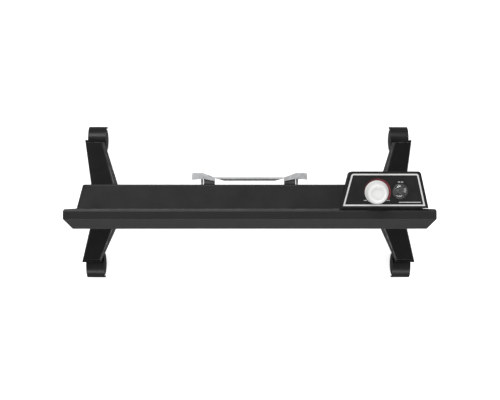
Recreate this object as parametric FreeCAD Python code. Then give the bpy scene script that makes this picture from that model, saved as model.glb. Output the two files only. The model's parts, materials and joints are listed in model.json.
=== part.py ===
"""Free-standing panel convection heater on four castors, built as separate sub-parts.

Frame: origin on the floor under the middle of the feet, +X to the right, +Y to the back, +Z up.
The flat front of the heater faces -Y. All sizes are in millimetres.
"""
import FreeCAD
import Part
import math
import os

os.makedirs("parts", exist_ok=True)
V = FreeCAD.Vector

# ---------------------------------------------------------------- driving dimensions

# Clearances and fits
running_gap = 0.3              # between faces of pieces that move past each other
shaft_clearance = 0.05         # radial, a pin or shaft in its bore
fit_clearance = 0.2            # around a piece set into a recess
cut_over = 1.0                 # how far a cutting shape reaches past the wall it cuts

# Whole heater: every other place follows from these
panel_half_width = 300.0
panel_top = 450.0
casing_bottom = 100.0
panel_back_y = -10.3
casing_depth = 39.6

# Front panel, folded from one sheet
panel_lift = 1.0               # of the panel's bottom above the casing's
panel_depth = 32.2
panel_bevel = 16.0
panel_wall = 1.2
panel_fold_radius = 3.0
panel_flange_overlap = 8.0     # how far the back flange reaches inside the casing

# Rear casing, a drawn tray
casing_side_step = 19.8        # from the panel's edge in to the casing's side
casing_top_step = 3.0
casing_draft = 9.2             # how far the sides and the top lean in from front to back
casing_wall = 1.2
casing_corner = 12.0
casing_bottom_corner = 4.0
casing_fold_radius = 3.0
casing_flange = 8.0

# Air outlet in the front face
outlet_side_margin = 75.0
outlet_top_margin = 26.0
outlet_height = 50.0
outlet_corner = 6.0
outlet_blades = 6
outlet_ribs = 7
blade_depth = 11.0
blade_wall = 1.0
blade_lean = 32.0
grille_flange = 5.0
grille_wall = 1.2

# Air inlet in the bottom of the casing
inlet_side_margin = 42.3
inlet_front_margin = 6.3
inlet_back_margin = 8.3
inlet_bars = 2
inlet_ties = 9
inlet_bar_wall = 4.2
inlet_frame_wall = 1.2
inlet_lap = 2.5

# Air deflector
deflector_drop = 46.0          # from the panel's top down to the deflector's lower edge
deflector_foot_height = 6.0
deflector_radius = 30.0
deflector_sweep = 70.0
deflector_wall = 0.8
deflector_side_margin = 16.3
deflector_tub_margin = 14.5

# Heating element
element_lift = 90.0
element_back_margin = 28.3
element_end_gap = 9.0
element_arm_reach_y = 17.0
element_arm_reach_z = 34.0
element_arm_wall = 1.8
element_hub_radius = 8.0
element_rib_length = 5.0
element_rib_shares = (0.45, 0.72, 1.0)
rod_radius = 5.0
rod_overhang = 10.0
stud_radius = 2.0
stud_length = 9.0
bush_radius = 9.0
bush_neck_radius = 7.5
bush_length = 10.0
bush_collar = 3.0
element_bracket_margin = 54.3
element_bracket_wall = 1.5
element_bracket_height = 56.0
element_bracket_reach = 16.0
element_bracket_nose = 12.0
element_bracket_foot = 20.0

# Flat push-on tabs of the electrical parts
tab_width = 5.0
tab_wall = 0.8
tab_length = 7.5

# Cut-out, tip-over switch and thermostat bulb, all on the back wall
sensor_lift = 192.0
cutout_x = 90.0
cutout_radius = 8.0
cutout_height = 9.0
cutout_plate_half_width = 17.0
cutout_plate_wall = 1.0
cutout_tab_spacing = 8.0
tip_switch_margin = 40.3
tip_switch_width = 22.0
tip_switch_height = 28.0
tip_switch_depth = 15.0
tip_switch_corner = 2.0
tip_switch_ear = 7.0
tip_switch_ear_width = 10.0
tip_switch_ear_wall = 2.0
tip_switch_tab_spacing = 10.0
bulb_lift = 28.0
bulb_side_margin = 34.0
bulb_radius = 3.0
bulb_length = 60.0
bulb_clip_wall = 1.2
bulb_clip_width = 6.0
bulb_clip_reach = 8.0
bulb_clip_share = 0.3

# Control box: a trapezoid head with a sloping face, and a tub let into the casing
face_tilt = 11.5
face_front_margin = 1.3
face_rise = 2.1
head_back_reach = 20.5
head_side_margin = 65.1
head_front_half = 71.5
head_back_half = 56.7
head_corner = 5.5
head_wall = 2.4
face_recess = 0.8
face_margin = 1.6
tub_reach_left = 54.65
tub_reach_right = 44.35
tub_front_margin = 8.3
tub_drop = 74.0
tub_wall = 2.2
tub_corner = 3.0
tub_flange_wall = 1.6
notch_gap = 1.4
shield_wall = 1.0
shield_front_gap = 2.4
shield_top_gap = 2.0

# Knob and thermostat
knob_offset = -12.7
knob_back_margin = 32.8
knob_radius = 19.2
knob_top_radius = 16.2
knob_height = 19.5
knob_dish_radius = 12.8
knob_dish_depth = 2.6
knob_wall = 2.0
knob_boss_radius = 5.5
knob_skirt = 3.0
knob_edge = 1.6
knob_taper = 0.3
knob_boss_gap = 1.8
thermostat_width = 42.0
thermostat_length = 32.0
thermostat_height = 20.0
thermostat_corner = 2.5
thermostat_tab_spacing = 24.0
thermostat_bush_radius = 5.0
thermostat_bush_rise = 1.4
thermostat_shaft_radius = 3.0
thermostat_shaft_flat = 1.0
thermostat_shaft_length = 15.5
thermostat_shaft_tail = 4.0
thermostat_nut_radius = 8.0
thermostat_nut_height = 2.2

# Round rocker switch
switch_offset = 25.0
switch_back_margin = 31.8
switch_bezel_radius = 12.4
switch_bezel_height = 1.6
switch_bezel_round = 0.5
switch_barrel_radius = 10.0
switch_barrel_length = 15.0
switch_tab_spacing = 8.0
switch_well_radius = 8.2
rocker_radius = 7.9
rocker_pivot_depth = 1.6
rocker_pin_radius = 1.4
rocker_tilt = 8.0
rocker_half_height = 3.4
rocker_valley = 0.9
cap_wall = 0.8
cap_rise = 6.4
cap_rim_height = 1.6
cap_rim_margin = 1.0

# Terminal block and cable gland
terminal_block_offset = 20.85
terminal_block_width = 30.0
terminal_block_depth = 18.0
terminal_block_height = 15.0
terminal_poles = 3
terminal_bore_radius = 2.4
terminal_bore_depth = 6.0
terminal_bore_margin = 5.0
terminal_slit = 1.4
terminal_slit_depth = 4.0
gland_offset = -35.15
gland_bore_radius = 3.8
gland_radius = 5.8
gland_collar_radius = 7.2
gland_collar_height = 3.0
gland_nut_height = 5.0
gland_nose_wall = 1.2
gland_nose_height = 6.0
gland_drop = 16.0

# Wall bracket and its two locks
bracket_drop = 80.0
bracket_wall = 1.6
bracket_strip_height = 26.0
bracket_reach = 20.5           # from the casing's back to the wall
bracket_strip_reach = 13.2
bracket_strip_half = 58.5
bracket_ear_inner_x = 78.0
bracket_ear_outer_x = 97.0
bracket_ear_depth = 10.0
bracket_arm_length = 166.0
bracket_lip_half = 43.0
bracket_lip_reach = 7.2
bracket_lip_drop = 2.6           # of the lip's front edge, which slopes down at 45 degrees
bracket_flange_depth = 6.5       # of the level flange over each bend
bracket_hook_drop = 8.0
bracket_slot_radius = 3.0
bracket_slot_length = 10.0
bracket_slot_drop = 30.0
bracket_slot_spacing = 116.0
hook_width = 10.0
hook_lip = 5.0
lock_inner_x = 59.0
lock_width = 18.0
lock_reach = 11.9
lock_height = 30.0
lock_nose_height = 5.0
lock_nose_width = 7.0
lock_nose_lift = 14.0
lock_lip_rise = 5.0
lock_lip_depth = 2.2
lock_travel = 6.0
lock_chamfer = 3.0
lock_cap_wall = 2.0              # of the lock's top, which closes its slot
lock_guide_wall = 1.6
lock_guide_reach = 4.0
lock_tab_length = 7.0
lock_tab_wall = 4.0
lock_tab_margin = 2.0

# Feet: chevron-shaped sheet channels, the right one given here from the panel's edge outwards
foot_wall = 1.6
foot_depth = 49.0
foot_end_drop = 32.0
foot_vertex_y = -12.0
foot_vertex_outer = -6.2
foot_vertex_inner = -58.4
foot_back_y = 122.0
foot_back_outer = 18.9
foot_back_inner = -18.0
foot_back_skew = 5.0
foot_front_y = -117.7
foot_front_outer = 24.8
foot_front_inner = -11.5
foot_front_skew = 2.0
foot_flat_front_y = -46.0
foot_flat_back_y = 33.0
foot_lip = 5.0
foot_lip_drop = 8.0
foot_fold_radius = 2.0
foot_screw_reach = -36.0
foot_screw_front_y = -4.0
foot_screw_back_y = 14.0
castor_plate_wall = 2.0
castor_plate_length = 26.0

# Castors
castor_back_reach = -2.3
castor_front_reach = 1.4
castor_end_margin_back = 17.8
castor_end_margin_front = 13.5
castor_trail = 19.0
wheel_radius = 22.5
wheel_rim_width = 9.6
wheel_inner_x = 7.2
wheel_dome = 2.4
wheel_wall = 2.4
wheel_hub_radius = 6.0
wheel_edge = 1.2
hood_half_width = 17.6
hood_gap = 1.5
hood_wall = 2.4
hood_low_angle = -16.0
hood_high_angle = 128.0
hood_web = 5.0
hood_boss_radius = 6.7
axle_radius = 3.0
stem_radius = 4.0
stem_seat = 0.5                # between the stem's end and the bottom of its bore
stem_bore_lift = 4.0
stem_upper_radius = 4.5
stem_flange_radius = 7.0
stem_flange_wall = 1.4
stem_flange_gap = 0.02
stem_upper_length = 14.0
castor_bush_radius = 6.2
castor_bush_flange_radius = 8.5
castor_bush_flange_wall = 1.2
castor_bush_length = 9.0

# Screws
screw_radius = 1.5
screw_head_radius = 2.8
screw_head_height = 1.8
screw_bite = 2.0               # how far a panel screw reaches past the sheets
panel_screw_inset = 5.1        # from the casing's outer walls to the panel screws
control_screw_inset = 7.5      # from the tub's side walls to the control screws
control_screw_length = 6.0
control_ledge_margin = 2.0
foot_screw_radius = 2.5
foot_screw_head_radius = 4.8
foot_screw_head_height = 2.6
foot_screw_bite = 4.0

# ---------------------------------------------------------------- derived places

panel_bottom = casing_bottom + panel_lift
panel_face_y = panel_back_y - panel_depth
panel_inner_face_y = panel_face_y + panel_wall
casing_half_width = panel_half_width - casing_side_step
casing_top = panel_top - casing_top_step
casing_back_y = panel_back_y + casing_depth
casing_inner_back_y = casing_back_y - casing_wall
casing_inner_front_y = panel_back_y + casing_wall
inside_back_y = casing_inner_back_y - running_gap

outlet_half_width = panel_half_width - outlet_side_margin
outlet_top = panel_top - outlet_top_margin
outlet_bottom = outlet_top - outlet_height
inlet_half_width = casing_half_width - inlet_side_margin
inlet_front_y = panel_back_y + inlet_front_margin
inlet_back_y = casing_back_y - inlet_back_margin

element_y = casing_back_y - element_back_margin
element_z = casing_bottom + element_lift
element_bracket_x = casing_half_width - element_bracket_margin
element_half_length = element_bracket_x - element_end_gap
rod_half_length = element_bracket_x + rod_overhang
sensor_z = casing_bottom + sensor_lift
tip_switch_x = tip_switch_margin - casing_half_width
bulb_x = element_bracket_x - bulb_side_margin
bulb_z = casing_bottom + bulb_lift

head_x = casing_half_width - head_side_margin
head_back_y = casing_back_y + head_back_reach
face_front_y = panel_back_y + face_front_margin
face_front_z = panel_top + face_rise
tub_left_x = head_x - tub_reach_left
tub_right_x = head_x + tub_reach_right
tub_front_y = panel_back_y + tub_front_margin
tub_back_y = head_back_y - head_wall - fit_clearance
tub_bottom = panel_top - tub_drop
tub_floor = tub_bottom + tub_wall
knob_x = head_x + knob_offset
knob_y = head_back_y - knob_back_margin
bush_top = thermostat_nut_height + thermostat_bush_rise
boss_start = bush_top + knob_boss_gap      # the knob's boss begins above the bush
switch_x = head_x + switch_offset
switch_y = head_back_y - switch_back_margin
gland_x = head_x + gland_offset
gland_y = (casing_back_y + tub_back_y - tub_wall) / 2
terminal_block_x = head_x + terminal_block_offset
terminal_block_y = (tub_front_y + gland_y) / 2
control_screw_y = tub_back_y - tub_wall - screw_head_radius - running_gap
shield_z = tub_bottom - shield_wall
shield_front_y = tub_front_y - shield_front_gap
deflector_foot_z = panel_top - deflector_drop
deflector_left_x = deflector_side_margin - casing_half_width
deflector_right_x = tub_left_x - deflector_tub_margin

bracket_top = casing_top - bracket_drop
bracket_wall_y = casing_back_y + bracket_reach
bracket_strip_y = casing_back_y + bracket_strip_reach
bracket_lip_front_y = casing_back_y + bracket_lip_reach
bracket_arm_bottom = bracket_top - bracket_arm_length
bracket_slot_upper_z = bracket_top - bracket_slot_drop
bracket_slot_lower_z = bracket_slot_upper_z - bracket_slot_spacing
hook_z = bracket_top - bracket_hook_drop - bracket_wall    # underside of the two hooks
lock_top = bracket_top - bracket_wall - running_gap
lock_bottom = lock_top - lock_height
lock_slot_top = lock_top - lock_cap_wall
guide_top = lock_slot_top - lock_travel - running_gap       # clear of the lock's top when it is down
lock_nose_z = lock_bottom + lock_nose_lift
lock_back_y = casing_back_y + lock_reach
lock_guide_front_y = casing_back_y + lock_guide_reach      # front of the fin a lock slides on

foot_top = casing_bottom
foot_bottom = foot_top - foot_depth
foot_end_z = foot_top - foot_end_drop
foot_screw_x = panel_half_width + foot_screw_reach
axle_z = wheel_radius
wheel_outer_x = wheel_inner_x + wheel_rim_width + wheel_dome
hood_inner_radius = wheel_radius + hood_gap
hood_outer_radius = hood_inner_radius + hood_wall
stem_flange_z = foot_bottom - castor_bush_flange_wall - stem_flange_wall - stem_flange_gap
hood_boss_top = stem_flange_z - running_gap

# ---------------------------------------------------------------- helpers


def box(x0, x1, y0, y1, z0, z1):
    """A block between two corners."""
    return Part.makeBox(x1 - x0, y1 - y0, z1 - z0, V(x0, y0, z0))


def cylinder(radius, start, end):
    """A round bar from one point to another."""
    along = V(*end) - V(*start)
    return Part.makeCylinder(radius, along.Length, V(*start), along)


def polygon_face(points):
    """A flat face from its corner points."""
    corners = [V(*p) for p in points]
    return Part.Face(Part.makePolygon(corners + corners[:1]))


def prism_xy(outline, z0, z1):
    """Pulls a plan outline up from z0 to z1."""
    return polygon_face([(x, y, z0) for x, y in outline]).extrude(V(0, 0, z1 - z0))


def prism_yz(outline, x0, x1):
    """Pulls a side outline across from x0 to x1."""
    return polygon_face([(x0, y, z) for y, z in outline]).extrude(V(x1 - x0, 0, 0))


def inset(outline, distance):
    """Moves every side of an anticlockwise outline inwards by the distance."""
    moved = []
    for i, corner in enumerate(outline):
        here = V(corner[0], corner[1], 0)
        before = here - V(outline[i - 1][0], outline[i - 1][1], 0)
        after = V(outline[(i + 1) % len(outline)][0], outline[(i + 1) % len(outline)][1], 0) - here
        before.normalize()
        after.normalize()
        normals = V(-before.y, before.x, 0) + V(-after.y, after.x, 0)
        share = distance / (1 + before.dot(after))
        moved.append((here.x + normals.x * share, here.y + normals.y * share))
    return moved


def fuse(shapes):
    """Joins touching shapes into one clean solid."""
    whole = shapes[0]
    if len(shapes) > 1:
        whole = whole.multiFuse(shapes[1:])
    return whole.removeSplitter()


def fillet(shape, radius, picks):
    """Rounds the edges for which picks(edge) is true."""
    edges = [edge for edge in shape.Edges if picks(edge)]
    return shape.makeFillet(radius, edges)


def mirrored(shape):
    """The left-hand copy of a right-hand shape."""
    return shape.mirror(V(0, 0, 0), V(1, 0, 0))


def middle(edge):
    """The middle point of an edge's box."""
    return edge.BoundBox.Center


def rounded_wire(x0, x1, z0, z1, radius, y):
    """A rounded rectangle in the plane at y."""
    near = radius * (1 - math.sqrt(0.5))
    corners = [
        ((x1 - radius, z0), (x1 - near, z0 + near), (x1, z0 + radius)),
        ((x1, z1 - radius), (x1 - near, z1 - near), (x1 - radius, z1)),
        ((x0 + radius, z1), (x0 + near, z1 - near), (x0, z1 - radius)),
        ((x0, z0 + radius), (x0 + near, z0 + near), (x0 + radius, z0)),
    ]
    edges = []
    for i, (start, mid, end) in enumerate(corners):
        points = [V(p[0], y, p[1]) for p in (start, mid, end)]
        edges.append(Part.Arc(*points).toShape())
        following = corners[(i + 1) % 4][0]
        edges.append(Part.LineSegment(points[2], V(following[0], y, following[1])).toShape())
    return Part.Wire(edges)


def rounded_block(x0, x1, y0, y1, z0, z1, radius):
    """A block whose four edges along Y are rounded."""
    face = Part.Face(rounded_wire(x0, x1, z0, z1, radius, y0))
    return face.extrude(V(0, y1 - y0, 0))


def dome_arc(rim, height, reach, turn):
    """An arc from the rim radius, at the height, up to the axis: the cap of a ball.

    The turn function places (radius, height) in the plane that is revolved.
    """
    ball = (rim * rim + reach * reach) / (2 * reach)
    half = rim / 2
    mid = height + reach - ball + math.sqrt(ball * ball - half * half)
    return Part.Arc(turn(rim, height), turn(half, mid), turn(0, height + reach)).toShape()


def tab_pair(x, y, z, spacing, along):
    """Two flat push-on tabs, side by side in x, standing out from a point along Y or down Z."""
    half, thin = tab_width / 2, tab_wall / 2
    tabs = []
    for side in (-1, 1):
        centre = x + side * spacing / 2
        if along == "y":
            tabs.append(box(centre - thin, centre + thin, y - tab_length, y, z - half, z + half))
        else:
            tabs.append(box(centre - thin, centre + thin, y - half, y + half, z - tab_length, z))
    return tabs


def write(name, shape):
    """Writes one sub-part, as one solid or as a group of separate solids."""
    solids = shape.Solids
    for solid in solids:
        assert solid.isValid() and solid.Volume > 0, name
    shape = solids[0] if len(solids) == 1 else Part.makeCompound(solids)
    shape.exportStep("parts/" + name + ".step")
    print(name, len(solids), "solid(s)", round(shape.Volume), "mm3")


# ---------------------------------------------------------------- front panel


def panel_block(gap):
    """The panel's outer form, or its inside when every wall is taken off by the gap."""
    block = box(-panel_half_width + gap, panel_half_width - gap,
                panel_face_y + gap, panel_back_y - gap,
                panel_bottom + gap, panel_top - gap)
    front = panel_face_y + gap
    bevel = panel_bevel - gap * (2 - math.sqrt(2))
    on_front = [edge for edge in block.Edges
                if abs(edge.BoundBox.YMin - front) < 0.01 and abs(edge.BoundBox.YMax - front) < 0.01]
    return block.makeChamfer(bevel, on_front)


def make_front_panel():
    """One folded sheet: flat face, four bevels, returns and a back flange with rolled folds."""
    outer = panel_block(0)
    outer = fillet(outer, panel_fold_radius,
                   lambda e: abs(middle(e).y - panel_back_y) < 0.01
                   and abs(e.BoundBox.YLength) < 0.01)
    inner = panel_block(panel_wall)
    inner = fillet(inner, panel_fold_radius - panel_wall,
                   lambda e: abs(middle(e).y - panel_back_y + panel_wall) < 0.01
                   and abs(e.BoundBox.YLength) < 0.01)
    panel = outer.cut(inner)
    opening_half = casing_half_width - panel_flange_overlap
    panel = panel.cut(rounded_block(-opening_half, opening_half,
                                    panel_back_y - 2 * panel_wall, panel_back_y + cut_over,
                                    casing_bottom + panel_flange_overlap,
                                    casing_top - panel_flange_overlap, casing_corner))
    panel = panel.cut(rounded_block(-outlet_half_width, outlet_half_width,
                                    panel_face_y - cut_over, panel_inner_face_y + cut_over,
                                    outlet_bottom, outlet_top, outlet_corner))
    return panel.cut(panel_screw_bores())


def panel_screw_places():
    """Where the casing's flange is screwed to the panel's flange."""
    side = casing_half_width - panel_screw_inset
    high = casing_top - panel_screw_inset
    low = casing_bottom + panel_screw_inset
    across = casing_half_width / 2
    middle_z = (casing_top + casing_bottom) / 2
    places = [(x, low) for x in (-across, across)]
    places += [(-across, high), (0, high)]
    places += [(x, middle_z) for x in (-side, side)]
    return places


def panel_screw_bores():
    """Clearance holes for the panel screws."""
    return Part.makeCompound([
        cylinder(screw_radius + shaft_clearance,
                 (x, panel_back_y - 2 * panel_wall, z), (x, casing_inner_front_y + cut_over, z))
        for x, z in panel_screw_places()])


def make_panel_screws():
    """Pan-head screws, driven from inside the casing before the element goes in."""
    screws = []
    for x, z in panel_screw_places():
        seat = casing_inner_front_y
        tip = panel_back_y - panel_wall - screw_bite
        shank = cylinder(screw_radius, (x, tip, z), (x, seat, z))
        head = cylinder(screw_head_radius, (x, seat, z), (x, seat + screw_head_height, z))
        screws.append(fuse([shank, head]))
    return Part.makeCompound(screws)


# ---------------------------------------------------------------- rear casing


def casing_block(gap):
    """The tray's outer form, or its inside when every wall is taken off by the gap."""
    front_half = casing_half_width - gap
    back_half = front_half - casing_draft
    low, high = casing_bottom + gap, casing_top - gap
    block = Part.makeWedge(-front_half, panel_back_y, low, low, -back_half,
                           front_half, casing_back_y - gap, high, high - casing_draft, back_half)
    centre_z = (low + high) / 2
    block = fillet(block, casing_corner - gap,
                   lambda e: e.BoundBox.YLength > 1 and middle(e).z > centre_z)
    return fillet(block, casing_bottom_corner - gap,
                  lambda e: e.BoundBox.YLength > 1 and middle(e).z < centre_z)


def lock_slot_x(side):
    """The middle of a lock, left or right."""
    return side * (lock_inner_x + lock_width / 2)


def hook_x(side):
    """The middle of a bracket hook, at the inner edge of the left or right ear."""
    return side * (bracket_ear_inner_x + hook_width / 2)


def ear_x(side):
    """The middle of a bracket ear and of the arm below it, left or right."""
    return side * (bracket_ear_inner_x + bracket_ear_outer_x) / 2


def make_rear_casing():
    """A drawn tray: tapered sides and top, flat bottom, front flange turned inwards."""
    tray = fillet(casing_block(0), casing_fold_radius,
                  lambda e: abs(e.BoundBox.YMin - casing_back_y) < 0.01)
    hollow = fillet(casing_block(casing_wall), casing_fold_radius - casing_wall,
                    lambda e: abs(e.BoundBox.YMin - casing_inner_back_y) < 0.01)
    mouth_half = casing_half_width - casing_flange
    mouth = rounded_block(-mouth_half, mouth_half,
                          panel_back_y - cut_over, casing_inner_front_y + cut_over,
                          casing_bottom + casing_flange, casing_top - casing_flange, casing_corner)
    behind_flange = box(-casing_half_width, casing_half_width, casing_inner_front_y, casing_back_y,
                        casing_bottom, casing_top)
    tray = tray.cut(fuse([hollow.common(behind_flange), mouth]))
    cuts = [box(-inlet_half_width, inlet_half_width, inlet_front_y, inlet_back_y,
                casing_bottom - cut_over, casing_bottom + casing_wall + cut_over)]
    cuts.append(box(tub_left_x - notch_gap, tub_right_x + notch_gap,
                    tub_front_y - notch_gap, casing_back_y + cut_over,
                    shield_z, casing_top + cut_over))
    for side in (-1, 1):
        x = lock_slot_x(side)
        half = lock_nose_width / 2 + running_gap
        cuts.append(box(x - half, x + half,
                        casing_inner_back_y - cut_over, casing_back_y + cut_over,
                        lock_nose_z - lock_travel - lock_nose_height / 2,
                        lock_nose_z + lock_nose_height + running_gap))
        x = hook_x(side)
        half = hook_width / 2 + running_gap
        cuts.append(box(x - half, x + half,
                        casing_inner_back_y - cut_over, casing_back_y + cut_over,
                        hook_z - running_gap, hook_z + bracket_wall + hook_lip + running_gap))
        for y in (foot_screw_front_y, foot_screw_back_y):
            cuts.append(cylinder(foot_screw_radius + shaft_clearance,
                                 (side * foot_screw_x, y, casing_bottom - cut_over),
                                 (side * foot_screw_x, y, casing_bottom + casing_wall + cut_over)))
    cuts.append(panel_screw_bores())
    return tray.cut(Part.makeCompound(cuts))


# ---------------------------------------------------------------- grilles and deflector


def make_outlet_grille():
    """A frame behind the front face with leaning blades and upright ribs in the window."""
    x0, x1 = -outlet_half_width, outlet_half_width
    flange = rounded_block(x0 - grille_flange, x1 + grille_flange,
                           panel_inner_face_y, panel_inner_face_y + grille_wall,
                           outlet_bottom - grille_flange, outlet_top + grille_flange,
                           outlet_corner + grille_flange)
    sleeve = rounded_block(x0 + fit_clearance, x1 - fit_clearance,
                           panel_face_y + panel_wall / 2, panel_inner_face_y + blade_depth,
                           outlet_bottom + fit_clearance, outlet_top - fit_clearance,
                           outlet_corner - fit_clearance)
    through = rounded_block(x0 + fit_clearance + grille_wall, x1 - fit_clearance - grille_wall,
                            panel_face_y - cut_over, panel_inner_face_y + blade_depth + cut_over,
                            outlet_bottom + fit_clearance + grille_wall,
                            outlet_top - fit_clearance - grille_wall,
                            outlet_corner - fit_clearance - grille_wall)
    frame = fuse([flange, sleeve]).cut(through)
    front, back = panel_inner_face_y, panel_inner_face_y + blade_depth - blade_wall
    rise = (back - front) * math.tan(math.radians(blade_lean))
    upright = blade_wall / math.cos(math.radians(blade_lean))
    spacing = (outlet_height - rise) / (outlet_blades + 1)
    bars = []
    for i in range(outlet_blades):
        z = outlet_bottom + spacing * (i + 1)
        outline = [(front, z + rise), (back, z), (back, z + upright), (front, z + rise + upright)]
        bars.append(prism_yz(outline, x0 + grille_wall / 2, x1 - grille_wall / 2))
    pitch = (x1 - x0) / (outlet_ribs + 1)
    for i in range(outlet_ribs):
        x = x0 + pitch * (i + 1)
        bars.append(box(x - blade_wall / 2, x + blade_wall / 2, front + blade_wall, back,
                        outlet_bottom + grille_wall / 2, outlet_top - grille_wall / 2))
    return fuse([frame] + bars)


def make_inlet_grille():
    """Long bars and short ties in a flanged frame that lies on the casing's floor."""
    floor = casing_bottom + casing_wall
    x0, x1 = -inlet_half_width, inlet_half_width
    y0, y1 = inlet_front_y, inlet_back_y
    lap = inlet_lap
    frame = box(x0 - lap, x1 + lap, y0 - lap, y1 + lap, floor, floor + inlet_frame_wall)
    frame = frame.cut(box(x0 + lap, x1 - lap, y0 + lap, y1 - lap,
                          floor - cut_over, floor + inlet_frame_wall + cut_over))
    bars = []
    for i in range(inlet_bars):
        y = y0 + (y1 - y0) * (i + 1) / (inlet_bars + 1)
        bars.append(box(x0 + fit_clearance, x1 - fit_clearance,
                        y - inlet_bar_wall / 2, y + inlet_bar_wall / 2,
                        casing_bottom, floor + inlet_frame_wall))
    for i in range(inlet_ties):
        x = x0 + (x1 - x0) * (i + 1) / (inlet_ties + 1)
        bars.append(box(x - inlet_bar_wall / 2, x + inlet_bar_wall / 2,
                        y0 + fit_clearance, y1 - fit_clearance,
                        floor, floor + inlet_frame_wall))
    return fuse([frame] + bars)


def make_air_deflector():
    """A curved sheet that turns the rising air forwards, out through the front."""
    back = inside_back_y
    foot_top_z = deflector_foot_z + deflector_foot_height
    centre = (back - deflector_radius, foot_top_z)
    outer, inner = deflector_radius, deflector_radius - deflector_wall

    def on_arc(radius, degrees):
        angle = math.radians(degrees)
        return V(0, centre[0] + radius * math.cos(angle), centre[1] + radius * math.sin(angle))

    end = deflector_sweep
    edges = [
        Part.LineSegment(V(0, back, deflector_foot_z), on_arc(outer, 0)).toShape(),
        Part.Arc(on_arc(outer, 0), on_arc(outer, end / 2), on_arc(outer, end)).toShape(),
        Part.LineSegment(on_arc(outer, end), on_arc(inner, end)).toShape(),
        Part.Arc(on_arc(inner, end), on_arc(inner, end / 2), on_arc(inner, 0)).toShape(),
        Part.LineSegment(on_arc(inner, 0), V(0, back - deflector_wall, deflector_foot_z)).toShape(),
        Part.LineSegment(V(0, back - deflector_wall, deflector_foot_z),
                         V(0, back, deflector_foot_z)).toShape(),
    ]
    face = Part.Face(Part.Wire(edges))
    sheet = face.extrude(V(deflector_right_x - deflector_left_x, 0, 0))
    sheet.translate(V(deflector_left_x, 0, 0))
    return sheet


# ---------------------------------------------------------------- heating element


def make_heating_element():
    """An extruded aluminium section: a hub with four leaning arms, each with short ribs."""
    x0, x1 = -element_half_length, element_half_length
    bodies = [cylinder(element_hub_radius, (x0, element_y, element_z), (x1, element_y, element_z))]
    length = math.hypot(element_arm_reach_y, element_arm_reach_z)
    along = (element_arm_reach_y / length, element_arm_reach_z / length)
    for side_y in (-1, 1):
        for side_z in (-1, 1):
            direction = (side_y * along[0], side_z * along[1])
            normal = (-direction[1] * element_arm_wall / 2, direction[0] * element_arm_wall / 2)
            tip = (element_y + direction[0] * length, element_z + direction[1] * length)
            outline = [(element_y + normal[0], element_z + normal[1]),
                       (element_y - normal[0], element_z - normal[1]),
                       (tip[0] - normal[0], tip[1] - normal[1]),
                       (tip[0] + normal[0], tip[1] + normal[1])]
            bodies.append(prism_yz(outline, x0, x1))
            for share in element_rib_shares:
                y = element_y + direction[0] * length * share
                z = element_z + direction[1] * length * share
                reach = element_rib_length
                bodies.append(box(x0, x1, y - reach, y + reach,
                                  z - element_arm_wall / 2, z + element_arm_wall / 2))
    section = fuse(bodies)
    bore = cylinder(rod_radius + shaft_clearance, (x0 - cut_over, element_y, element_z),
                    (x1 + cut_over, element_y, element_z))
    return section.cut(bore)


def make_heater_rod():
    """The sheathed rod inside the element, with a smaller stud at each end."""
    rod = cylinder(rod_radius, (-rod_half_length, element_y, element_z),
                   (rod_half_length, element_y, element_z))
    reach = rod_half_length + stud_length
    stud = cylinder(stud_radius, (-reach, element_y, element_z), (reach, element_y, element_z))
    return fuse([rod, stud])


def make_element_bushes():
    """Two ceramic collars that carry the rod in the brackets."""
    bushes = []
    for side in (-1, 1):
        face = side * (element_bracket_x + element_bracket_wall)
        outer_end = face + side * bush_collar
        inner_end = outer_end - side * bush_length
        collar = cylinder(bush_radius, (face, element_y, element_z), (outer_end, element_y, element_z))
        neck = cylinder(bush_neck_radius, (inner_end, element_y, element_z),
                        (outer_end, element_y, element_z))
        bore = cylinder(rod_radius + shaft_clearance, (inner_end - side, element_y, element_z),
                        (outer_end + side, element_y, element_z))
        bushes.append(fuse([collar, neck]).cut(bore))
    return Part.makeCompound(bushes)


def make_element_bracket():
    """The right bracket: an upright web with the bush hole and a foot on the back wall."""
    back = inside_back_y
    x = element_bracket_x
    low, high = element_z - element_bracket_height / 2, element_z + element_bracket_height / 2
    nose, nose_y = element_bracket_nose, element_y - element_bracket_reach
    outline = [(back, low), (back, high), (element_y, high - nose / 2),
               (nose_y, element_z + nose), (nose_y, element_z - nose),
               (element_y, low + nose / 2)]
    web = prism_yz(outline, x, x + element_bracket_wall)
    foot = box(x, x + element_bracket_foot, back - element_bracket_wall, back, low, high)
    bracket = fuse([web, foot])
    return bracket.cut(cylinder(bush_neck_radius + shaft_clearance,
                                (x - cut_over, element_y, element_z),
                                (x + element_bracket_wall + cut_over, element_y, element_z)))


def make_thermal_cutout():
    """A round snap disc on a small plate, with two flat tabs."""
    x, z, back = cutout_x, sensor_z, inside_back_y
    plate_front = back - cutout_plate_wall
    plate = box(x - cutout_plate_half_width, x + cutout_plate_half_width, plate_front, back,
                z - cutout_radius, z + cutout_radius)
    disc = cylinder(cutout_radius, (x, plate_front, z), (x, plate_front - cutout_height, z))
    tabs = tab_pair(x, plate_front - cutout_height, z, cutout_tab_spacing, "y")
    return fuse([plate, disc] + tabs)


def make_tip_over_switch():
    """A closed moulded case with two ears on the back wall."""
    x, z, back = tip_switch_x, sensor_z, inside_back_y
    half, front = tip_switch_width / 2, inside_back_y - tip_switch_depth
    case = box(x - half, x + half, front, back,
               z - tip_switch_height / 2, z + tip_switch_height / 2)
    case = fillet(case, tip_switch_corner,
                  lambda e: abs(e.BoundBox.YLength - tip_switch_depth) < 0.01)
    ear_reach = tip_switch_height / 2 + tip_switch_ear
    ears = box(x - tip_switch_ear_width / 2, x + tip_switch_ear_width / 2,
               back - tip_switch_ear_wall, back, z - ear_reach, z + ear_reach)
    return fuse([case, ears] + tab_pair(x, front, z, tip_switch_tab_spacing, "y"))


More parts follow.
